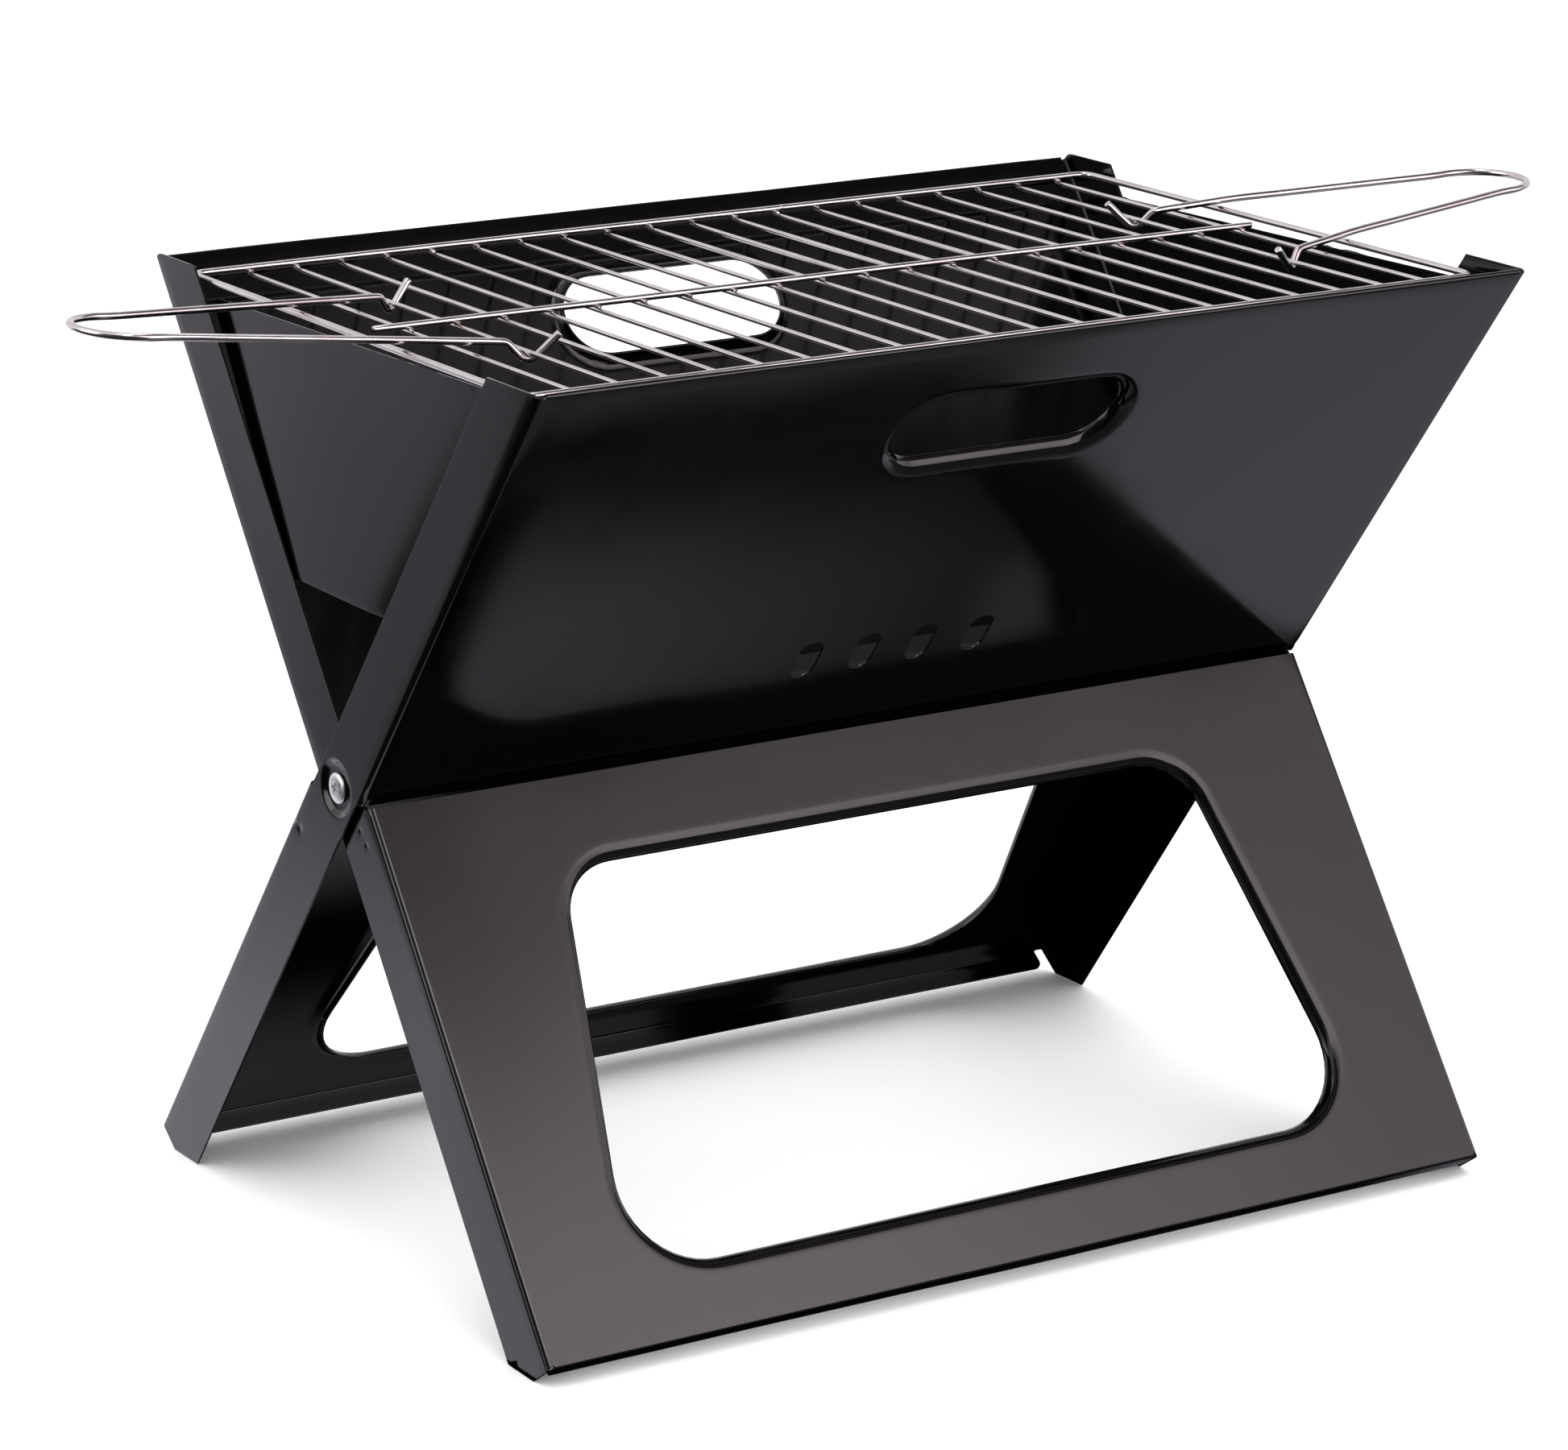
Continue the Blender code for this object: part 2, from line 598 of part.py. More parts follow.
def wire(name, points, radius, origin, cyclic=False, bevel_resolution=2):
    curve = bpy.data.curves.new(name, "CURVE")
    curve.dimensions = "3D"
    curve.bevel_depth = radius * MM
    curve.bevel_resolution = bevel_resolution
    curve.use_fill_caps = not cyclic
    spline = curve.splines.new("POLY")
    spline.points.add(len(points) - 1)
    for point, at in zip(spline.points, points):
        point.co = (*((Vector(at) - Vector(origin)) * MM), 1)
    spline.use_cyclic_u = cyclic
    spline.use_smooth = True
    add_object(name, curve, Matrix.Translation(Vector(origin) * MM), parts)
    curve.materials.append(paint(name, **CHROME))


def cooking_grate():
    origin = (0, 0, GRATE_Z)
    corners = rect(-GRATE_X, GRATE_X, -GRATE_Y, GRATE_Y)
    loop = [(x, y, GRATE_Z) for x, y in rounded(corners, [GRATE_CORNER_R] * 4, 5)]
    wire("grate_rim", loop, RIM_R, origin, cyclic=True)
    rod = [(-ROD_HALF, 0, GRATE_Z), (ROD_HALF, 0, GRATE_Z)]
    wire("grate_centre_rod", rod, RIM_R, origin)
    for k in range(BARS):
        x = BAR_SHIFT + BAR_STEP * (k - (BARS - 1) / 2)
        ends = [(x, -BAR_HALF, BAR_Z), (x, BAR_HALF, BAR_Z)]
        wire("grate_bar_%02d" % (k + 1), ends, BAR_R, (x, 0, BAR_Z), bevel_resolution=1)


cooking_grate()

# ---- hooked handles ----------------------------------------------------------
# Points are (out from the hook bar, across, up from the bar).
HANDLE_R = 1.5
HOOK_X = BAR_STEP * ((BARS - 1) / 2 - 1)      # each handle hooks the last bar but one
HOOK_R = BAR_R + 0.35 + HANDLE_R
HOOK_Y = 54.0
HOOK_TIP = [(-10.9, 57.5, 6.9), (-2.05, HOOK_Y, -2.0)]
HOOK_ANGLES = (-70, -95, -120)                # round the underside of the bar
HOOK_DRIFT = 0.03                             # sideways, per degree round the bar
SHOULDER = (8.4, 47.8, 3.7)
HOOK_RISE = [(2.18, 51.0, -1.85), (4.6, 49.5, 1.05), (5.9, 48.8, 2.55), (6.9, 48.3, 3.35),
             SHOULDER]
RIM_AT, ARM_MIDDLE, ARM_END = 41.7, 90.0, 134.0
ARM_TAPER = 0.2064
INNER_SLOPE = 0.088    # up to the rim; beyond it each handle has its own slope
GRIP_ANGLES = (12, 28, 44, 60, 76)
GRIP_START, GRIP_REACH, GRIP_POWER, GRIP_END = ARM_END + 3.4, 22.0, 0.9, 159.6


def handle_half(outer_slope):
    """Half of one handle, tip first."""
    shoulder_x, shoulder_y, shoulder_z = SHOULDER

    def rise(x):
        inner = (min(x, RIM_AT) - shoulder_x) * INNER_SLOPE
        return shoulder_z + inner + max(0.0, x - RIM_AT) * outer_slope

    points = list(HOOK_TIP)
    for degrees in HOOK_ANGLES:
        angle = math.radians(degrees)
        points.append((-HOOK_R * math.cos(angle), HOOK_Y + HOOK_DRIFT * (degrees + 45),
                       HOOK_R * math.sin(angle)))
    points += HOOK_RISE
    for x in (RIM_AT, ARM_MIDDLE, ARM_END):
        points.append((x, shoulder_y - (x - shoulder_x) * ARM_TAPER, rise(x)))
    end_y = points[-1][1]
    for degrees in GRIP_ANGLES:
        angle = math.radians(degrees)
        x = GRIP_START + GRIP_REACH * math.sin(angle)
        points.append((x, end_y * math.cos(angle) ** GRIP_POWER, rise(x)))
    points.append((GRIP_END, 0.0, rise(GRIP_END)))
    return points


def handle(side, label, outer_slope, slid):
    """One handle, slid along its hook bar from the middle."""
    half = handle_half(outer_slope)
    full = half + [(x, -y, z) for x, y, z in half[-2::-1]]
    hook = side * HOOK_X + BAR_SHIFT
    points = [(hook + side * x, slid + y, BAR_Z + z) for x, y, z in full]
    wire("handle_" + label, points, HANDLE_R, (hook, slid, BAR_Z))


handle(-1, "left", outer_slope=0.083, slid=0.0)
handle(1, "right", outer_slope=0.045, slid=-7.0)

# The bars' shift carries both handles with it, so the overall length is centred here.
for thing in bpy.data.objects:
    thing.matrix_world = Matrix.Translation((-BAR_SHIFT * MM, 0, 0)) @ thing.matrix_world
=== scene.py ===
"""Looks of a folding camp grill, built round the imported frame.

Two sheet frames cross at a pivot line along x and open into an X seen from the
side. The front frame rises towards the front (-y) and ends below in the rear leg;
the rear frame rises towards the back (+y) and ends below in the front leg. The
floor is z = 0. The four sheet pressings are laid out as flat patterns, drawn,
dished, bent and given their thickness here. Lengths are millimetres, turned into
metres when a mesh is made.
"""
import math

import bmesh
import bpy
import numpy as np
from mathutils import Matrix, Vector
from mathutils.geometry import delaunay_2d_cdt


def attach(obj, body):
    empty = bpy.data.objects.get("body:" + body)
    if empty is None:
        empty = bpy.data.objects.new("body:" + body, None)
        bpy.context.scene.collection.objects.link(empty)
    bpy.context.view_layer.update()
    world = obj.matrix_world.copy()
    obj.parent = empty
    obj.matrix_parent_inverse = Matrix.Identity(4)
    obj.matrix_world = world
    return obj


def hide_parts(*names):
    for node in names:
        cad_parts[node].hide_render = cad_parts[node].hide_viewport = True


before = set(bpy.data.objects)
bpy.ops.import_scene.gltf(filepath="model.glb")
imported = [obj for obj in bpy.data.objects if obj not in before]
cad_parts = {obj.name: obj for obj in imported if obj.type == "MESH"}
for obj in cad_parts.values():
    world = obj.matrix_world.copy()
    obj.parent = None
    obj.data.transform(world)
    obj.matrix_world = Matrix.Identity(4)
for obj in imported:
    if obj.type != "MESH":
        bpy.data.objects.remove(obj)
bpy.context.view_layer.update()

MM = 0.001
X0 = -5.5                          # middle of the body along x
PIVOT_Z = 193.8
LEAN = math.radians(54.0)          # slope of both frames, from the floor
COS, SIN = math.cos(LEAN), math.sin(LEAN)

# Sheet pressings. Slopes are measured up a frame from the pivot line, offsets
# square to the frame's middle plane.
SHEET = 1.0                        # thickness
EDGE = 0.22                        # rounding of a sheet edge
HALF = 16.4                        # offset of a panel's outer face
BEND_R = 2.4                       # outer radius between panel and side strip
ARC = math.pi * BEND_R / 2
FRONT_X, REAR_X = 225.0, 222.2     # half widths of the two frames
FRONT_FREE, REAR_FREE = 13.7, 12.3     # offsets of the strips' free edges
FRONT_TOP, REAR_TOP, PANEL_BOTTOM = 237.2, 234.9, 8.0      # slopes
STRIP_TOP_Z = 376.7
SEAM, LEG_BOTTOM = -14.9, -241.4   # slopes of the leg's top and bottom
HEM, HEM_R = 11.5, 1.1             # folded top edge
LIP, LIP_R = 10.0, 1.6             # turned bottom edge of a leg

# Openings
SLOT_LENGTH, SLOT_HEIGHT, SLOT_UP = 103.5, 35.0, 185.8
VENT_WIDTH, VENT_HEIGHT, VENT_UP = 10.8, 20.5, 57.0
VENT_X = (-40.5, -13.5, 13.5, 40.5)
# Leg window, bottom then top: half width, slope, corner radius
WINDOW = ((174.5, -212.5, 33.0), (147.5, -51.0, 25.0))

DISH_DEPTH = 1.5                   # seat of the pivot bolt
BOLT_HOLE_R = 3.1
PLATE_X = 216.5                    # hinge line of the end plates, from the middle
SIDES = ((-1, "left"), (1, "right"))


def slope_at(z, offset):
    """The slope at which a given offset reaches height z."""
    return (z - PIVOT_Z + COS * offset) / SIN


def lay(slope, offset, toward=-1):
    """(y, z) of a place on a frame that rises to the front (-1) or the back (1)."""
    return toward * (COS * slope + SIN * offset), PIVOT_Z + SIN * slope - COS * offset


# ---- shader building ------------------------------------------------------------
class Field:
    """An output in a node tree. Arithmetic on it adds Math nodes."""

    def __init__(self, tree, socket):
        self.tree, self.socket = tree, socket

    def sibling(self, name):
        """Another output of the same node."""
        return Field(self.tree, self.socket.node.outputs[name])

    def __add__(self, other):
        return calc("ADD", self, other)

    def __radd__(self, other):
        return calc("ADD", other, self)

    def __sub__(self, other):
        return calc("SUBTRACT", self, other)

    def __rsub__(self, other):
        return calc("SUBTRACT", other, self)

    def __mul__(self, other):
        return calc("MULTIPLY", self, other)

    def __truediv__(self, other):
        return calc("DIVIDE", self, other)

    def __rtruediv__(self, other):
        return calc("DIVIDE", other, self)


def feed(node, inputs):
    """Link or set a node's inputs from {input: Field, number or RGB colour}."""
    for key, given in inputs.items():
        socket = node.inputs[key]
        if isinstance(given, Field):
            given.tree.links.new(given.socket, socket)
        else:
            socket.default_value = (*given, 1) if socket.type == "RGBA" else given


def put(tree, kind, output, inputs=None, **settings):
    """Add a node and return one of its outputs."""
    node = tree.nodes.new("ShaderNode" + kind)
    for key, setting in settings.items():
        setattr(node, key, setting)
    feed(node, inputs or {})
    return Field(tree, node.outputs[output])


def calc(operation, *terms):
    tree = next(term.tree for term in terms if isinstance(term, Field))
    return put(tree, "Math", 0, dict(enumerate(terms)), operation=operation)


def maximum(first, second):
    return calc("MAXIMUM", first, second)


def minimum(first, second):
    return calc("MINIMUM", first, second)


def rise(source, start, end):
    """A smooth step from 0 at start to 1 at end."""
    inputs = {"From Min": start, "From Max": end, "Value": source}
    return put(source.tree, "MapRange", "Result", inputs, interpolation_type="SMOOTHSTEP")


def fall(source, start, end):
    """A smooth step from 1 at start to 0 at end."""
    return 1.0 - rise(source, start, end)


def blend(factor, first, second):
    return (1.0 - factor) * first + factor * second


def new_material(name):
    material = bpy.data.materials.new(name)
    material.use_nodes = True
    tree = material.node_tree
    return material, tree, tree.nodes["Principled BSDF"]


def noise(tree, scale, detail=3.0, rough=0.5, stretch=None, distort=0.0):
    place = put(tree, "TexCoord", "Object")
    if stretch:
        place = put(tree, "Mapping", "Vector", {"Scale": stretch, "Vector": place})
    inputs = {"Scale": scale, "Detail": detail, "Roughness": rough,
              "Distortion": distort, "Vector": place}
    return put(tree, "TexNoise", "Fac", inputs)


def ramp(source, start, end, low=0.0, high=1.0):
    """A ramp from low to high, each a grey value or a colour."""
    field = put(source.tree, "ValToRGB", "Color", {"Fac": source})
    elements = field.socket.node.color_ramp.elements
    for element, at, shade in zip(elements, (start, end), (low, high)):
        element.position = at
        element.color = (*shade, 1) if isinstance(shade, tuple) else (shade, shade, shade, 1)
    return field


def mix(factor, first, second):
    return put(factor.tree, "Mix", 2, {0: factor, 6: first, 7: second}, data_type="RGBA")


def bump(height, distance, strength, below=None):
    inputs = {"Strength": strength, "Distance": distance, "Height": height}
    if below:
        inputs["Normal"] = below
    return put(height.tree, "Bump", "Normal", inputs)


# ---- materials ------------------------------------------------------------------
def enamel(name):
    """Stoved black enamel: soft gloss, fine orange peel, slight clouding, worn edges."""
    material, tree, shader = new_material(name)
    cloud = ramp(noise(tree, scale=9, detail=4, rough=0.6), start=0.3, end=0.7)
    base = mix(cloud, (0.0002, 0.0002, 0.0002), (0.0006, 0.0005, 0.0006))
    worn = ramp(put(tree, "NewGeometry", "Pointiness"), start=0.56, end=0.66)
    fleck = ramp(noise(tree, scale=420, detail=5, rough=0.7), start=0.52, end=0.66)
    smear = noise(tree, scale=26, detail=5, rough=0.62, stretch=(1, 1, 0.45), distort=0.6)
    peel = bump(noise(tree, scale=620, detail=2), distance=0.00002, strength=0.3)
    grain = noise(tree, scale=2600, detail=2)
    feed(shader, {
        "Base Color": mix(worn * fleck, base, (0.05, 0.048, 0.047)),
        "Roughness": ramp(smear, start=0.3, end=0.72, low=0.085, high=0.15),
        "Normal": bump(grain, distance=0.000003, strength=0.2, below=peel),
        "IOR": 1.5,
        "Coat Weight": 0.12,
        "Coat Roughness": 0.05,
    })
    return material


def bright_wire(name, tint=(0.74, 0.72, 0.71), warm=(0.50, 0.43, 0.40), stretch=(1, 0.05, 1)):
    """Bright plated wire, with drawing lines along it and faint warm clouding."""
    material, tree, shader = new_material(name)
    cloud = ramp(noise(tree, scale=34, detail=4, rough=0.6), start=0.44, end=0.78, high=0.75)
    base = mix(cloud, tint, warm)
    speck = ramp(noise(tree, scale=900, rough=0.6), start=0.66, end=0.8, high=0.6)
    dulling = noise(tree, scale=160, detail=4, rough=0.6)
    lines = noise(tree, scale=1500, detail=2, stretch=stretch)
    feed(shader, {
        "Base Color": mix(speck, base, (0.22, 0.19, 0.18)),
        "Metallic": 1.0,
        "Roughness": ramp(dulling, start=0.3, end=0.75, low=0.10, high=0.26),
        "Normal": bump(lines, distance=0.00003, strength=0.3),
    })
    return material


def zinc(name):
    """Zinc plate with a faint spangle and a few handling marks."""
    material, tree, shader = new_material(name)
    cells = put(tree, "TexVoronoi", "Distance",
                {"Scale": 700, "Vector": put(tree, "TexCoord", "Object")})
    spangle = ramp(cells, start=0.0, end=1.0, low=(0.66, 0.66, 0.67), high=(0.86, 0.86, 0.85))
    marks = ramp(noise(tree, scale=950, detail=5, rough=0.7, stretch=(1, 0.4, 1)),
                 start=0.60, end=0.72, high=0.8)
    pits = noise(tree, scale=1200, detail=4, rough=0.6)
    feed(shader, {
        "Base Color": mix(marks, spangle, (0.20, 0.19, 0.18)),
        "Metallic": 1.0,
        "Roughness": ramp(noise(tree, scale=500), start=0.3, end=0.7, low=0.24, high=0.42),
        "Normal": bump(pits, distance=0.00008, strength=0.5),
    })
    return material


def heat_black(name):
    """Heat-darkened sheet under the charcoal: dull, ash-dusted."""
    material, tree, shader = new_material(name)
    ash = ramp(noise(tree, scale=60, detail=6, rough=0.7), start=0.45, end=0.75, high=0.5)
    dulling = noise(tree, scale=90, detail=4)
    feed(shader, {
        "Base Color": mix(ash, (0.004, 0.0038, 0.0036), (0.012, 0.0113, 0.0105)),
        "Roughness": ramp(dulling, start=0.3, end=0.7, low=0.42, high=0.62),
        "Normal": bump(noise(tree, scale=700, detail=4), distance=0.0001, strength=0.4),
    })
    return material


ENAMEL = enamel("black_enamel")
PLATE_ENAMEL = enamel("black_enamel_plate")
WIRE_LONG = bright_wire("bright_wire_long", stretch=(0.05, 1, 1))
WIRE_CROSS = bright_wire("bright_wire_cross")
WIRE_HANDLE = bright_wire("bright_wire_handle", tint=(0.72, 0.69, 0.68),
                          warm=(0.46, 0.38, 0.35), stretch=(0.05, 1, 1))
WELD = bright_wire("weld_nugget", tint=(0.60, 0.56, 0.54),
                   warm=(0.26, 0.21, 0.19), stretch=(1, 1, 1))
ZINC = zinc("zinc_plate")
CHARRED = heat_black("heat_black_sheet")


# ---- outlines -------------------------------------------------------------------
def rectangle(x, y, half_width, half_height):
    return [(x - half_width, y - half_height), (x + half_width, y - half_height),
            (x + half_width, y + half_height), (x - half_width, y + half_height)]


def rounded(corners, radii, segments, grow=0.0):
    """A polygon with arcs at its corners, widened by grow."""
    out = []
    for i, radius in enumerate(radii):
        corner = Vector(corners[i])
        back = (Vector(corners[i - 1]) - corner).normalized()
        ahead = (Vector(corners[(i + 1) % len(corners)]) - corner).normalized()
        half = back.angle(ahead) / 2
        centre = corner + (back + ahead).normalized() * (radius / math.sin(half))
        start = corner + back * (radius / math.tan(half)) - centre
        end = corner + ahead * (radius / math.tan(half)) - centre
        turn0 = math.atan2(start.y, start.x)
        turn1 = math.atan2(end.y, end.x)
        while turn1 < turn0:
            turn1 += 2 * math.pi
        for k in range(segments + 1):
            turn = turn0 + (turn1 - turn0) * k / segments
            out.append((centre.x + (radius + grow) * math.cos(turn),
                        centre.y + (radius + grow) * math.sin(turn)))
    return out


def circle(x, y, radius, sides=48):
    turns = [2 * math.pi * k / sides for k in range(sides)]
    return [(x + radius * math.cos(turn), y + radius * math.sin(turn)) for turn in turns]


def divide(loops, step=6.0):
    """The same subdivision of every loop in a stack of matching outlines."""
    first = loops[0]
    size = len(first)
    counts = [max(1, round(math.dist(first[i], first[(i + 1) % size]) / step))
              for i in range(size)]
    out = []
    for loop in loops:
        fresh = []
        for i, count in enumerate(counts):
            start, end = loop[i], loop[(i + 1) % size]
            for k in range(count):
                part = k / count
                fresh.append((start[0] + (end[0] - start[0]) * part,
                              start[1] + (end[1] - start[1]) * part))
        out.append(fresh)
    return out


def inside(points, loops):
    """Which points lie inside an odd number of loops."""
    odd = np.zeros(len(points), bool)
    x, y = points[:, 0], points[:, 1]
    for loop in loops:
        ring = np.array(loop)
        for (x0, y0), (x1, y1) in zip(ring, np.roll(ring, -1, axis=0)):
            if y0 == y1:
                continue
            crosses = (y0 > y) != (y1 > y)
            odd ^= crosses & (x < (x1 - x0) * (y - y0) / (y1 - y0) + x0)
    return odd


def gridded(loop, columns, rows, least=0.25):
    """A boundary loop with a point wherever it crosses a grid column or row."""
    out = []
    for i in range(len(loop)):
        start, end = np.array(loop[i], float), np.array(loop[(i + 1) % len(loop)], float)
        along = end - start
        length = float(np.hypot(*along))
        cuts = []
        for axis, lines in ((0, columns), (1, rows)):
            if abs(along[axis]) > 1e-9:
                parts = (np.array(lines) - start[axis]) / along[axis]
                cuts += [float(part) for part in parts
                         if least / length < part < 1 - least / length]
        out.append(tuple(start))
        last = 0.0
        for part in sorted(cuts):
            if (part - last) * length > least:
                out.append(tuple(start + along * part))
                last = part
    return out


def triangulate(outline, holes, extra):
    """Triangles between an outline and its holes, with extra points inside.

    Returns the points, the triangles, and where each boundary point went.
    """
    coords, edges = [], []
    for loop in [outline] + holes:
        start = len(coords)
        coords += [Vector(point) for point in loop]
        edges += [(start + i, start + (i + 1) % len(loop)) for i in range(len(loop))]
    near = np.array([tuple(point) for loop in holes for point in loop])
    for point, keep in zip(extra, inside(extra, [outline] + holes)):
        if not keep or (len(near) and np.min(np.abs(near - point).sum(1)) < 1.3):
            continue
        coords.append(Vector(point))
    verts, _, faces, origin, _, _ = delaunay_2d_cdt(coords, edges, [], 0, 1e-6)
    flat = np.array([tuple(vert) for vert in verts])
    triangles = np.array([face for face in faces if len(face) == 3])
    triangles = triangles[inside(flat[triangles].mean(1), [outline] + holes)]
    lookup = {source: k for k, sources in enumerate(origin) for source in sources}
    return flat, triangles, lookup


# ---- sheet and mesh helpers -----------------------------------------------------
def unit(vectors):
    return vectors / (np.linalg.norm(vectors, axis=-1)[..., None] + 1e-20)


def face_crosses(points, faces):
    corners = points[faces]
    return np.cross(corners[:, 1] - corners[:, 0], corners[:, 2] - corners[:, 0])


def vertex_normals(points, faces):
    """Normals weighted by the corner angles of the triangles."""
    normals = np.zeros_like(points)
    corners = points[faces]
    cross = unit(face_crosses(points, faces))
    for k in range(3):
        ahead = corners[:, (k + 1) % 3] - corners[:, k]
        back = corners[:, (k + 2) % 3] - corners[:, k]
        lengths = np.linalg.norm(ahead, axis=1) * np.linalg.norm(back, axis=1)
        cosine = (ahead * back).sum(1) / (lengths + 1e-20)
        np.add.at(normals, faces[:, k], cross * np.arccos(np.clip(cosine, -1, 1))[:, None])
    return unit(normals)


def thicken(points, faces, thickness, edge, sharp):
    """A closed sheet with rounded edges from its outer face: (points, normals, faces).

    Rim points marked sharp keep a square edge.
    """
    normals = vertex_normals(points, faces)
    # A dict keeps the half edges in order.
    halves = dict.fromkeys((i, j) for a, b, c in faces for i, j in ((a, b), (b, c), (c, a)))
    rim = [(i, j) for i, j in halves if (j, i) not in halves]
    outward = np.zeros_like(points)
    for i, j in rim:
        away = unit(np.cross(points[j] - points[i], normals[i] + normals[j]))
        outward[i] += away
        outward[j] += away
    length = np.linalg.norm(outward, axis=1)
    on_rim = length > 1e-9
    outward[on_rim] /= length[on_rim][:, None]
    rim_ids = np.unique(rim)
    pull = np.zeros(len(points))
    pull[rim_ids] = np.where(sharp[rim_ids], 0.0, edge)
    count = len(points)
    top = points - outward * pull[:, None]
    rows, row_normals = [top, top - normals * thickness], [normals, -normals]
    rim_out, rim_normals = outward[rim_ids], normals[rim_ids]
    for degrees, near_top in ((30, 1), (60, 1), (90, 1), (90, 0), (60, 0), (30, 0)):
        turn = math.radians(degrees)
        depth = edge * (1 - math.cos(turn))
        if not near_top:
            depth = thickness - depth
        facing = math.cos(turn) if near_top else -math.cos(turn)
        rows.append(top[rim_ids] + rim_out * (pull[rim_ids] * math.sin(turn))[:, None]
                    - rim_normals * depth)
        row_normals.append(rim_normals * facing + rim_out * math.sin(turn))
    polys = [tuple(map(int, face)) for face in faces]
    polys += [tuple(int(vert) + count for vert in face[::-1]) for face in faces]
    index = np.full(count, -1)
    index[rim_ids] = np.arange(len(rim_ids))
    starts = [2 * count + len(rim_ids) * k for k in range(6)]
    for i, j in rim:
        chain_i, chain_j = ([int(end)] + [start + int(index[end]) for start in starts]
                            + [int(end) + count] for end in (i, j))
        for k in range(7):
            polys.append((chain_j[k], chain_i[k], chain_i[k + 1], chain_j[k + 1]))
    return np.concatenate(rows), np.concatenate(row_normals), polys


def mesh_object(name, verts, polys, *materials, normals=None):
    mesh = bpy.data.meshes.new(name)
    mesh.from_pydata([tuple(vert) for vert in np.asarray(verts) * MM], [], polys)
    mesh.polygons.foreach_set("use_smooth", [True] * len(mesh.polygons))
    mesh.update()
    if normals is not None:
        mesh.normals_split_custom_set_from_vertices([tuple(normal) for normal in unit(normals)])
    thing = bpy.data.objects.new(name, mesh)
    bpy.context.scene.collection.objects.link(thing)
    for material in materials:
        mesh.materials.append(material)
    return thing


def face_outward(mesh, sharp_above=None):
    """Turn faces outward and, given an angle in radians, mark sharper edges sharp."""
    work = bmesh.new()
    work.from_mesh(mesh)
    bmesh.ops.recalc_face_normals(work, faces=work.faces)
    if sharp_above is not None:
        for edge in work.edges:
            edge.smooth = not (edge.is_manifold and edge.calc_face_angle(0) > sharp_above)
    work.to_mesh(mesh)
    work.free()


def tell(thing, body, node):
    """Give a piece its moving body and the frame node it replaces."""
    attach(thing, body)
    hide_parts(node)


